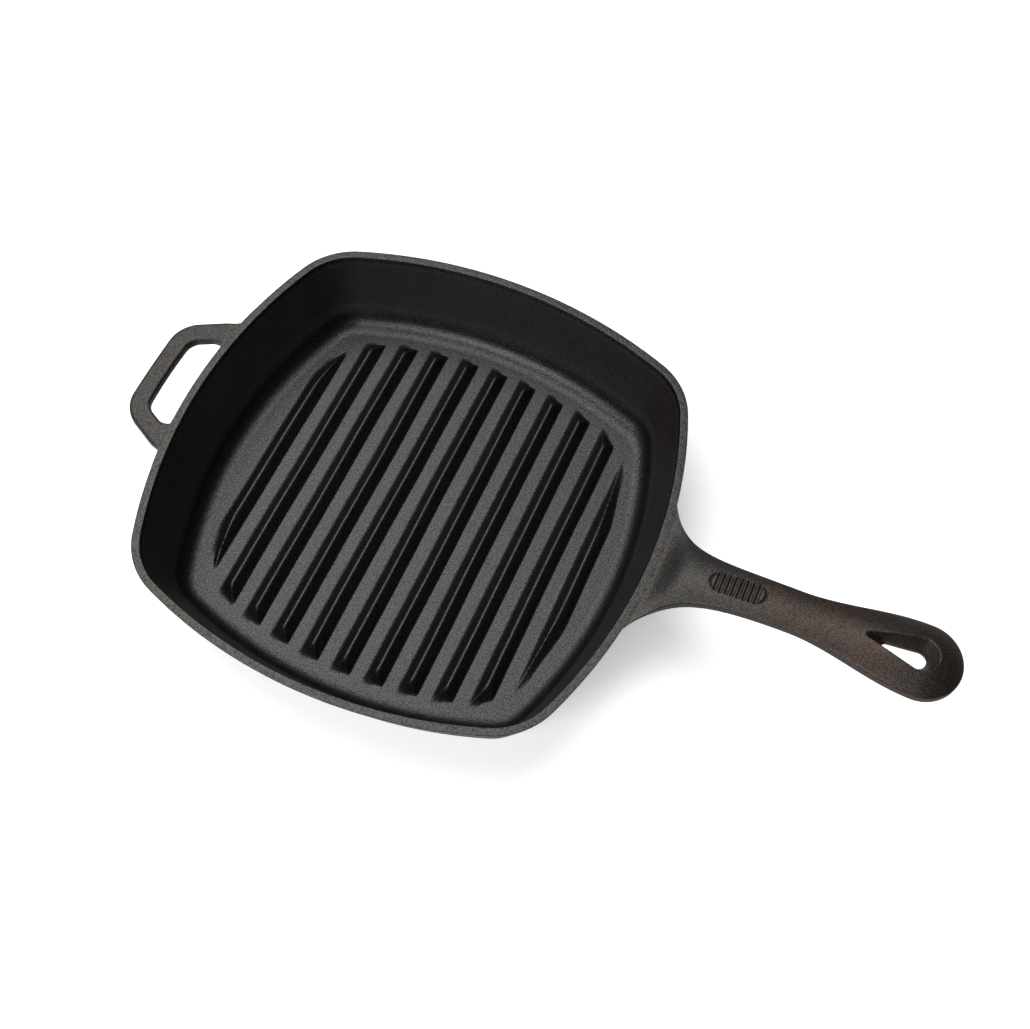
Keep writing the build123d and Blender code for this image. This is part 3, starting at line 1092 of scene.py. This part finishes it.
def on_circle(x, radius, angle):
    """A place on a circle round a point of the handle's middle line."""
    return Vector((x, 0)) + radius * Vector((math.cos(angle), math.sin(angle)))


def handle_stations(shape):
    """Matched points on the middle line or the hole and on the handle's outline, from the rim to the end."""
    waist = shape.tear(0)
    plain_end = waist.small_x - PLAIN_LEAD
    tip = waist.small_x - waist.small_radius
    line_angle = math.pi / 2 + waist.lean
    line_start = on_circle(waist.small_x, waist.small_radius, line_angle)
    line_end = on_circle(waist.big_x, waist.big_radius, line_angle)
    near_tip = tip - TIP_LEAD
    near_line = line_start.x + LINE_LEAD

    def on_middle(share):
        return Vector((plain_end + (tip - plain_end) * share, 0))

    def on_tip(share):
        return on_circle(waist.small_x, waist.small_radius, math.pi + (line_angle - math.pi) * share)

    def on_line(share):
        return line_start.lerp(line_end, share)

    stations = []
    for step in range(PLAIN_STEPS):
        out = (plain_end - HALF_WIDTH) * step / PLAIN_STEPS
        middle = HALF_WIDTH + out
        across = shape.half_width(middle)
        for _ in range(SAG_ROUNDS):
            sag = (HALF_WIDTH - shape.outline.reach(across)) * smooth_step(1 - out / ROOT_RUN)
            across = (across + shape.half_width(middle - sag)) / 2
        stations.append((Vector((middle, 0)), Vector((middle - sag, across)), False))
    runs = (
        (on_middle, plain_end, near_tip, LEAD_STEPS, False),
        (on_tip, near_tip, near_line, TIP_STEPS, True),
        (on_line, near_line, shape.end_centre, LINE_STEPS, True),
    )
    for inner_at, start, end, steps, through in runs:
        for step in range(steps):
            share = step / steps
            x = start + (end - start) * share
            stations.append((inner_at(share), Vector((x, shape.half_width(x))), through))
    for step in range(END_STEPS + 1):
        share = step / END_STEPS
        inner = on_circle(waist.big_x, waist.big_radius, line_angle * (1 - share))
        outer = on_circle(shape.end_centre, shape.end_half, math.pi / 2 * (1 - share))
        stations.append((inner, outer, True))
    return stations


def handle_strip(shape, inner, outer, through):
    """One line of points over the handle: out over the top, down the side and back along the underside."""
    sizes = shape.sizes
    width = (outer - inner).length
    away = (outer - inner).normalized()
    edge_height, bottom = shape.side(outer.x, outer.y)
    round_width = sizes.upper_edge
    points = []
    last = outer - away * round_width
    for step in range(ACROSS_STEPS + 1):
        place = inner.lerp(last, step / ACROSS_STEPS)
        points.append((place, shape.top(place.x, place.y)))
    start = (round_width, points[-1][1])
    crown_edge = arc_points(start, (0, edge_height), (0, edge_height - round_width), UPPER_EDGE_STEPS)
    for distance, height in crown_edge[1:]:
        points.append((outer - away * distance, height))
    lower = sizes.lower_edge
    low_edge = arc_points((0, bottom + lower), (0, bottom), (lower, bottom), LOWER_EDGE_STEPS)
    for distance, height in low_edge:
        points.append((outer - away * distance, height))
    low_inner = inner
    if through:
        low_inner = inner + away * sizes.flare
    under_start = outer - away * lower
    for step in range(1, UNDER_STEPS + 1):
        place = under_start.lerp(low_inner, step / UNDER_STEPS)
        points.append((place, shape.side(place.x, 0)[1]))
    if through:
        low = points[-1][1]
        for step in range(1, HOLE_STEPS):
            share = step / HOLE_STEPS
            place = low_inner.lerp(inner, share)
            points.append((place, low + (shape.waist - low) * share))
    return points


def handle_mesh(sizes, outline, pocket):
    """The long handle as one half, mirrored and joined, with a hidden face at the rim."""
    shape = HandleShape(sizes, outline, pocket)
    slope = wall_slope(pan_sizes())
    points = []
    faces = []
    rows = []
    for inner, outer, through in handle_stations(shape):
        out = inner.x - HALF_WIDTH
        share = smooth_step(1 - out / ROOT_RUN)
        row = []
        for place, height in handle_strip(shape, inner, outer, through):
            x = place.x
            if share > 0:
                line_x = inner.x + (outer.x - inner.x) * (place.y / outer.y)
                curve_x = inner.x - (HALF_WIDTH - outline.reach(place.y)) * share
                x = curve_x + (place.x - line_x) - (PAN_TOP - height) * slope * share
            row.append(len(points))
            points.append((x, max(place.y, 0), height))
        rows.append((row, through))
    for (near, _), (far, through) in zip(rows, rows[1:]):
        count = min(len(near), len(far))
        for index in range(count - 1):
            faces.append((near[index], near[index + 1], far[index + 1], far[index]))
        if len(near) == len(far) and through:
            faces.append((near[-1], near[0], far[0], far[-1]))
    half_count = len(points)
    points += [(x, -y, z) for x, y, z in points]
    faces += [tuple(half_count + index for index in reversed(face)) for face in faces]
    root = rows[0][0]
    faces.append((*root, *[half_count + index for index in reversed(root[1:-1])]))
    return mesh_from("long_handle", points, faces)


# The thumb rest, by geometry nodes

PAD_LIFT = 0.02 * MM
RAY_START = 1.0
DIP_SHARE = 0.15
BEND_FADE_START_SHARE = 0.8
BEND_FADE_END_SHARE = 0.4
GROOVE_FADE_SHARE = 5.0


def pad_tree(values):
    """The ribbed pad of the thumb rest, laid on the handle's skin by a ray from above each point."""
    tree = new_tree("thumb_rest_pad", values)
    sums = Sums(tree)
    given = tree.nodes.new("NodeGroupInput").outputs
    grid = sums.node(
        "GeometryNodeMeshGrid",
        Size_X=2.0,
        Size_Y=2.0,
        Vertices_X=given["Steps Along"],
        Vertices_Y=given["Steps Across"],
    )
    position = tree.nodes.new("GeometryNodeInputPosition").outputs[0]
    unit = sums.node("ShaderNodeSeparateXYZ", Vector=position).outputs
    radius = sums.times(given["Pad Width"], 0.5)
    half_length = sums.times(given["Pad Length"], 0.5)
    turn = sums.number("SINE", sums.times(unit["X"], math.pi / 2))
    along = sums.times(turn, half_length)
    past = sums.number("MAXIMUM", sums.less(sums.size(along), sums.less(half_length, radius)), 0)
    y = sums.times(unit["Y"], sums.chord(radius, past))
    x = sums.add(along, given["Middle"])
    from_edge = sums.less(radius, sums.span(past, y))
    inside = sums.rise(from_edge, 0.0, given["Border"])
    dip = sums.times(sums.less(1.0, inside), sums.times(given["Border"], DIP_SHARE))
    groove = sums.times(pad_grooves(sums, given, along, y, radius), given["Depth"])
    body = sums.times(sums.rise(from_edge, 0.0, given["Skirt"]), given["Skirt"])
    above = sums.node("ShaderNodeCombineXYZ", X=x, Y=y, Z=RAY_START).outputs[0]
    down = (0, 0, -1)
    reach = 2 * RAY_START
    ray = sums.node("GeometryNodeRaycast", Source_Position=above, Ray_Direction=down, Ray_Length=reach)
    skin_mesh = sums.node("GeometryNodeObjectInfo", Object=given["Skin"]).outputs["Geometry"]
    tree.links.new(skin_mesh, ray.inputs["Target Geometry"])
    hit = sums.node("ShaderNodeSeparateXYZ", Vector=ray.outputs["Hit Position"]).outputs["Z"]
    skin = sums.less(sums.add(hit, PAD_LIFT), dip)
    both = tree.nodes.new("GeometryNodeJoinGeometry")
    for level in (sums.less(skin, groove), sums.less(skin, body)):
        place = sums.node("ShaderNodeCombineXYZ", X=x, Y=y, Z=level).outputs[0]
        sheet = sums.node("GeometryNodeSetPosition", Geometry=grid.outputs["Mesh"], Position=place)
        tree.links.new(sheet.outputs[0], both.inputs[0])
    closed = sums.node("GeometryNodeMergeByDistance", Geometry=both.outputs[0], Distance=WELD)
    end_tree(tree, sums, closed.outputs[0], given["Material"])
    return tree


def pad_grooves(sums, given, x, y, radius):
    """Where the pad is cut: straight grooves across it and a curved one near each end."""
    half_groove = sums.times(given["Groove Width"], 0.5)
    half_soft = sums.times(given["Softness"], 0.5)
    outside = sums.add(half_groove, half_soft)
    inside = sums.less(half_groove, half_soft)
    row_end = sums.times(sums.times(given["Groove Count"], 0.5), given["Pitch"])
    place = sums.over(sums.add(x, row_end), given["Pitch"])
    from_groove = sums.times(sums.less(sums.number("FRACT", place), 0.5), given["Pitch"])
    straight = sums.rise(sums.size(from_groove), outside, inside)
    in_row = sums.number("LESS_THAN", sums.size(x), row_end)
    bend_radius = sums.less(radius, half_groove)
    bend_reach = sums.add(sums.add(row_end, sums.times(given["Pitch"], 0.5)), given["Bend Gap"])
    from_bend = sums.less(sums.size(x), sums.less(bend_reach, bend_radius))
    arc = sums.rise(sums.size(sums.less(sums.span(from_bend, y), bend_radius)), outside, inside)
    fade_start = sums.times(radius, BEND_FADE_START_SHARE)
    fade_end = sums.times(radius, BEND_FADE_END_SHARE)
    bend = sums.times(arc, sums.rise(sums.size(y), fade_start, fade_end))
    grooves = sums.choose(in_row, bend, straight)
    from_side = sums.less(radius, sums.size(y))
    full_depth = sums.times(given["Border"], GROOVE_FADE_SHARE)
    return sums.times(grooves, sums.rise(from_side, given["Border"], full_depth))


def bare_handle(sizes, outline):
    """The long handle without its pocket, as a helper object for the pad's rays."""
    mesh = handle_mesh(sizes, outline, None)
    holder = bpy.data.objects.new("bare_handle", mesh)
    bpy.context.scene.collection.objects.link(holder)
    return holder


class GRILLPAN_OT_thumb_rest(bpy.types.Operator):
    """Make the ribbed pad of the thumb rest"""

    bl_idname = "grillpan.thumb_rest"
    bl_label = "Thumb rest"

    def execute(self, context):
        sizes = context.scene.grill_thumb_sizes
        skin = bare_handle(context.scene.grill_handle_sizes, Outline(pan_sizes()))
        values = {
            **labelled(sizes),
            "Middle": HALF_WIDTH + sizes.place,
            "Skin": skin,
            "Material": bpy.data.materials["cast_iron_handles"],
        }
        del values["Place"]
        mesh = grown_mesh("thumb_rest_pad", pad_tree(values), values)
        bpy.data.meshes.remove(skin.data)
        turn_outwards(mesh)
        new_piece("thumb_rest_pad", mesh, "cast_iron_handles", ["thumb_rest"])
        return {"FINISHED"}


class GRILLPAN_OT_long_handle(bpy.types.Operator):
    """Make the long handle with its hanging hole and the thumb rest's bed"""

    bl_idname = "grillpan.long_handle"
    bl_label = "Long handle"

    def execute(self, context):
        sizes = context.scene.grill_handle_sizes
        mesh = handle_mesh(sizes, Outline(pan_sizes()), context.scene.grill_thumb_sizes)
        new_piece("long_handle", mesh, "cast_iron_handles", ["main_handle"])
        return {"FINISHED"}


# The finish

# The grain: shares of its three layers, and their scales against the fine one
FINE_SHARE = 0.6
COARSE_SHARE = 0.5
PIT_SHARE = 0.35
COARSE_SCALE = 0.3
PIT_SCALE = 0.8

# The bloom: shares of its clouds and specks, and the level above which they show
CLOUD_SHARE = 2.4
SPECK_SHARE = 1.6
SPECK_SCALE = 1100.0
BLOOM_LEVEL = -1.5

# The grain's effect on colour and roughness
DARKEST_GRAIN = 0.15
ROUGHNESS_SPREAD = 0.2

# Between these shares of the pan's height the wall's colour turns from the floor's to the rim's
UPPER_START_SHARE = 0.4
UPPER_END_SHARE = 0.8


def shader_group(name, inputs, outputs):
    """A shader node group of plain numbers: its calls, inputs, outputs and the place on the piece."""
    group = bpy.data.node_groups.new(name, "ShaderNodeTree")
    for label in inputs:
        group.interface.new_socket(label, in_out="INPUT", socket_type="NodeSocketFloat")
    for label in outputs:
        group.interface.new_socket(label, in_out="OUTPUT", socket_type="NodeSocketFloat")
    given = group.nodes.new("NodeGroupInput").outputs
    put_out = group.nodes.new("NodeGroupOutput").inputs
    place = group.nodes.new("ShaderNodeTexCoord").outputs["Object"]
    return Sums(group), given, put_out, place


def grain_group():
    """The relief of sand-cast iron: fine grains, coarser lumps and a few pits."""
    sums, given, put_out, place = shader_group("sand_cast_grain", ("Grain Size",), ("Height", "Speckle"))
    scale = sums.over(1.0, given["Grain Size"])
    coarse_scale = sums.times(scale, COARSE_SCALE)
    fine = sums.node("ShaderNodeTexNoise", Vector=place, Scale=scale, Detail=3.0, Roughness=0.6)
    coarse = sums.node("ShaderNodeTexNoise", Vector=place, Scale=coarse_scale, Detail=2.0)
    cells = sums.node("ShaderNodeTexVoronoi", Vector=place, Scale=sums.times(scale, PIT_SCALE))
    fine_part = sums.times(fine.outputs["Fac"], FINE_SHARE)
    lumps = sums.add(fine_part, sums.times(coarse.outputs["Fac"], COARSE_SHARE))
    height = sums.less(lumps, sums.times(cells.outputs["Distance"], PIT_SHARE))
    sums.feed(put_out["Height"], height)
    sums.feed(put_out["Speckle"], fine.outputs["Fac"])
    return sums.tree


def bloom_group():
    """Where the seasoning shows brown: soft clouds broken up by specks, past a starting line along X."""
    inputs = ("Amount", "Cloud Scale", "Start", "Full")
    sums, given, put_out, place = shader_group("brown_bloom", inputs, ("Mask",))
    cloud_scale = given["Cloud Scale"]
    clouds = sums.node("ShaderNodeTexNoise", Vector=place, Scale=cloud_scale, Detail=5.0, Roughness=0.65)
    specks = sums.node("ShaderNodeTexNoise", Vector=place, Scale=SPECK_SCALE, Detail=2.0)
    cloud_part = sums.times(clouds.outputs["Fac"], CLOUD_SHARE)
    mixed = sums.add(cloud_part, sums.times(specks.outputs["Fac"], SPECK_SHARE))
    level = sums.number("MULTIPLY_ADD", mixed, 1.0, BLOOM_LEVEL)
    level.node.use_clamp = True
    along = sums.node("ShaderNodeSeparateXYZ", Vector=place).outputs["X"]
    grown = sums.rise(along, given["Start"], given["Full"])
    sums.feed(put_out["Mask"], sums.times(sums.times(level, grown), given["Amount"]))
    return sums.tree


def skin_group():
    """Where the iron is glossy: below one height, above another, and close to the rim on the handles.

    The second mask is 0 at the floor and 1 at the rim's height."""
    inputs = ("Least", "Foot", "Foot End", "Crest", "Crest End", "Root", "Root End")
    sums, given, put_out, place = shader_group("glossy_skin", inputs, ("Mask", "Upper"))
    parts = sums.node("ShaderNodeSeparateXYZ", Vector=place).outputs
    low = sums.rise(parts["Z"], given["Foot End"], given["Foot"])
    high = sums.rise(parts["Z"], given["Crest"], given["Crest End"])
    root = sums.rise(sums.size(parts["X"]), given["Root End"], given["Root"])
    mask = given["Least"]
    for part in (low, high, root):
        mask = sums.number("MAXIMUM", mask, part)
    upper = sums.rise(parts["Z"], PAN_TOP * UPPER_START_SHARE, PAN_TOP * UPPER_END_SHARE)
    sums.feed(put_out["Mask"], mask)
    sums.feed(put_out["Upper"], upper)
    return sums.tree


def group_node(tree, group, values):
    """A node that uses a group, with its inputs set by name."""
    node = tree.nodes.new("ShaderNodeGroup")
    node.node_tree = group
    for label, value in values.items():
        node.inputs[label].default_value = value
    return node


def mixed_colour(tree, share, first, second):
    """Mix two colours, each given as plain numbers or as a node's output."""
    node = tree.nodes.new("ShaderNodeMix")
    node.data_type = "RGBA"
    tree.links.new(share, node.inputs["Factor"])
    for label, value in (("A", first), ("B", second)):
        if isinstance(value, bpy.types.NodeSocket):
            tree.links.new(value, node.inputs[label])
        else:
            node.inputs[label].default_value = (*value, 1)
    return node.outputs["Result"]


def iron_material(name, finish, iron, gloss, speckle, groups, bloom_values, skin_values):
    """Seasoned cast iron: near black, with grain, a brown bloom and a soft sheen."""
    material = bpy.data.materials.get(name) or bpy.data.materials.new(name)
    material.use_nodes = True
    tree = material.node_tree
    tree.nodes.clear()
    output = tree.nodes.new("ShaderNodeOutputMaterial")
    shader = tree.nodes.new("ShaderNodeBsdfPrincipled")
    tree.links.new(shader.outputs["BSDF"], output.inputs["Surface"])
    sums = Sums(tree)
    grain, bloom, skin = groups
    relief = group_node(tree, grain, {"Grain Size": finish.grain_size})
    cloud = group_node(tree, bloom, bloom_values)
    glossy = group_node(tree, skin, skin_values)
    dull = mixed_colour(tree, cloud.outputs["Mask"], finish.black, finish.brown)
    by_height = mixed_colour(tree, glossy.outputs["Upper"], finish.floor_iron, iron)
    warm = mixed_colour(tree, cloud.outputs["Mask"], by_height, finish.rust)
    tint = mixed_colour(tree, glossy.outputs["Mask"], dull, warm)
    shade = sums.number("MULTIPLY_ADD", relief.outputs["Speckle"], speckle, 1 - speckle / 2)
    scaled = tree.nodes.new("ShaderNodeVectorMath")
    scaled.operation = "SCALE"
    tree.links.new(tint, scaled.inputs["Vector"])
    tree.links.new(sums.number("MAXIMUM", shade, DARKEST_GRAIN), scaled.inputs["Scale"])
    tree.links.new(scaled.outputs["Vector"], shader.inputs["Base Color"])
    tree.links.new(glossy.outputs["Mask"], shader.inputs["Metallic"])
    least_rough = gloss - ROUGHNESS_SPREAD / 2
    rough = sums.number("MULTIPLY_ADD", relief.outputs["Speckle"], ROUGHNESS_SPREAD, least_rough)
    tree.links.new(rough, shader.inputs["Roughness"])
    bump = tree.nodes.new("ShaderNodeBump")
    bump.inputs["Distance"].default_value = finish.grain_depth
    tree.links.new(relief.outputs["Height"], bump.inputs["Height"])
    tree.links.new(bump.outputs["Normal"], shader.inputs["Normal"])


class GRILLPAN_OT_finish(bpy.types.Operator):
    """Make the seasoned iron of the floor, the wall and the handles"""

    bl_idname = "grillpan.finish"
    bl_label = "Iron finish"

    def execute(self, context):
        finish = context.scene.grill_iron_finish
        groups = (grain_group(), bloom_group(), skin_group())
        # A value that no height and no distance on the pan falls to
        off = -1.0
        everywhere = {"Start": off, "Full": off + 0.1}
        on_floor = {"Amount": 0.0, "Cloud Scale": 30.0, **everywhere}
        on_wall = {"Amount": 0.12, "Cloud Scale": 45.0, **everywhere}
        on_handles = {"Amount": 1.0, "Cloud Scale": 60.0, "Start": 0.145, "Full": 0.215}
        all_glossy = {"Least": 1.0, "Foot": off - 0.1, "Foot End": off, "Root": off - 0.1, "Root End": off}
        foot = {"Foot": FLOOR_TOP + 7 * MM, "Foot End": FLOOR_TOP + 18 * MM}
        crest = {"Crest": PAN_TOP - 5 * MM, "Crest End": PAN_TOP - 2 * MM}
        wall_skin = {"Least": 0.0, "Root": off - 0.1, "Root End": off, **foot, **crest}
        root = {"Root": HALF_WIDTH, "Root End": HALF_WIDTH + 4 * MM}
        no_crest = {"Crest": 1.0, "Crest End": 1.1}
        floor_skin = {**all_glossy, **no_crest}
        handle_skin = {"Least": 0.8, "Foot": off - 0.1, "Foot End": off, **no_crest, **root}
        floor = (finish.floor_iron, finish.floor_gloss, finish.floor_speckle)
        wall = (finish.rim_iron, finish.wall_gloss, finish.wall_speckle)
        handles = (finish.handle_iron, finish.handle_gloss, finish.handle_speckle)
        iron_material("cast_iron_floor", finish, *floor, groups, on_floor, floor_skin)
        iron_material("cast_iron_wall", finish, *wall, groups, on_wall, wall_skin)
        iron_material("cast_iron_handles", finish, *handles, groups, on_handles, handle_skin)
        return {"FINISHED"}


# The stage

# The soft boxes: where each stands, where it points, and its width and depth
SOFT_BOX = ((-0.30, 0.28, 1.0), (0.0, 0.1, 0.03), 1.0, 1.1)
NEAR_BOX = ((-0.25, -1.0, 0.7), (0.03, 0, 0.03), 0.7, 0.5)


def stage_material(glow_strength):
    """The pale floor: it shows white to the camera and keeps the shadow."""
    material = bpy.data.materials.new("pale_floor")
    material.use_nodes = True
    tree = material.node_tree
    shader = tree.nodes["Principled BSDF"]
    shader.inputs["Base Color"].default_value = (0.9, 0.9, 0.9, 1)
    shader.inputs["Roughness"].default_value = 0.9
    shader.inputs["Specular IOR Level"].default_value = 0.0
    path = tree.nodes.new("ShaderNodeLightPath")
    sums = Sums(tree)
    glow = sums.times(path.outputs["Is Camera Ray"], glow_strength)
    shader.inputs["Emission Color"].default_value = (1, 1, 1, 1)
    tree.links.new(glow, shader.inputs["Emission Strength"])
    return material


def world_light(fill):
    """Even light from all round, and a white background for the camera and for reflections."""
    world = bpy.data.worlds.new("studio")
    world.use_nodes = True
    tree = world.node_tree
    background = tree.nodes["Background"]
    background.inputs["Color"].default_value = (1, 1, 1, 1)
    path = tree.nodes.new("ShaderNodeLightPath")
    sums = Sums(tree)
    strength = sums.add(sums.times(path.outputs["Is Camera Ray"], 1.0 - fill), fill)
    tree.links.new(strength, background.inputs["Strength"])
    bpy.context.scene.world = world


def area_lamp(name, place, aim, width, depth, power):
    """A rectangular lamp that points at a place."""
    lamp = bpy.data.lights.new(name, "AREA")
    lamp.shape = "RECTANGLE"
    lamp.size = width
    lamp.size_y = depth
    lamp.energy = power
    holder = bpy.data.objects.new(name, lamp)
    bpy.context.scene.collection.objects.link(holder)
    holder.location = place
    holder.rotation_euler = (Vector(aim) - Vector(place)).to_track_quat("-Z", "Y").to_euler()


def photo_camera(studio):
    """The camera, at the angle from which the pan was photographed."""
    azimuth = math.radians(studio.azimuth)
    elevation = math.radians(studio.elevation)
    roll = math.radians(studio.roll)
    right = Vector((math.cos(azimuth), math.sin(azimuth), 0))
    level = math.cos(elevation)
    back = Vector((math.sin(azimuth) * level, -math.cos(azimuth) * level, math.sin(elevation)))
    up = back.cross(right)
    side = right * math.cos(roll) + up * math.sin(roll)
    top = up * math.cos(roll) - right * math.sin(roll)
    data = bpy.data.cameras.new("camera")
    data.sensor_width = 36
    data.sensor_fit = "HORIZONTAL"
    data.lens = studio.lens
    camera = bpy.data.objects.new("camera", data)
    bpy.context.scene.collection.objects.link(camera)
    place = Vector(studio.target) + back * studio.distance
    turn = Matrix((side, top, back)).transposed()
    camera.matrix_world = Matrix.Translation(place) @ turn.to_4x4()
    bpy.context.scene.camera = camera


class GRILLPAN_OT_stage(bpy.types.Operator):
    """Make the floor, the lamps and the camera"""

    bl_idname = "grillpan.stage"
    bl_label = "Stage"

    def execute(self, context):
        studio = context.scene.grill_studio
        half = studio.floor_size / 2
        mesh = bpy.data.meshes.new("pale_floor")
        corners = [(-half, -half, 0), (half, -half, 0), (half, half, 0), (-half, half, 0)]
        mesh.from_pydata(corners, [], [(0, 1, 2, 3)])
        mesh.materials.append(stage_material(studio.glow))
        floor = bpy.data.objects.new("pale_floor", mesh)
        context.scene.collection.objects.link(floor)
        world_light(studio.fill)
        area_lamp("soft_box", *SOFT_BOX, studio.soft_box_power)
        area_lamp("near_box", *NEAR_BOX, studio.near_box_power)
        photo_camera(studio)
        context.scene.view_settings.view_transform = "Standard"
        return {"FINISHED"}


class GRILLPAN_PT_panel(bpy.types.Panel):
    """The pan's pieces and its stage, in the order in which they are made."""

    bl_idname = "GRILLPAN_PT_panel"
    bl_label = "Grill Pan"
    bl_space_type = "VIEW_3D"
    bl_region_type = "UI"
    bl_category = "Grill Pan"

    def draw(self, context):
        for operator in OPERATORS:
            self.layout.operator(operator.bl_idname)


OPERATORS = (
    GRILLPAN_OT_finish,
    GRILLPAN_OT_floor_slab,
    GRILLPAN_OT_ribs,
    GRILLPAN_OT_wall,
    GRILLPAN_OT_helper_handle,
    GRILLPAN_OT_thumb_rest,
    GRILLPAN_OT_long_handle,
    GRILLPAN_OT_stage,
)

SETTINGS = {
    "grill_pan_sizes": PanSizes,
    "grill_rib_sizes": RibSizes,
    "grill_helper_sizes": HelperSizes,
    "grill_handle_sizes": HandleSizes,
    "grill_thumb_sizes": ThumbSizes,
    "grill_iron_finish": IronFinish,
    "grill_studio": StudioSettings,
}


def register():
    """Add the settings, the operators and the panel."""
    for name, group in SETTINGS.items():
        bpy.utils.register_class(group)
        setattr(bpy.types.Scene, name, PointerProperty(type=group))
    for operator in OPERATORS:
        bpy.utils.register_class(operator)
    bpy.utils.register_class(GRILLPAN_PT_panel)


def unregister():
    """Take the panel, the operators and the settings away again."""
    bpy.utils.unregister_class(GRILLPAN_PT_panel)
    for operator in reversed(OPERATORS):
        bpy.utils.unregister_class(operator)
    for name, group in SETTINGS.items():
        delattr(bpy.types.Scene, name)
        bpy.utils.unregister_class(group)


def main():
    """Make everything in order."""
    register()
    bpy.ops.grillpan.finish()
    bpy.ops.grillpan.floor_slab()
    bpy.ops.grillpan.ribs()
    bpy.ops.grillpan.wall()
    bpy.ops.grillpan.helper_handle()
    bpy.ops.grillpan.thumb_rest()
    bpy.ops.grillpan.long_handle()
    bpy.ops.grillpan.stage()


if __name__ == "__main__":
    main()
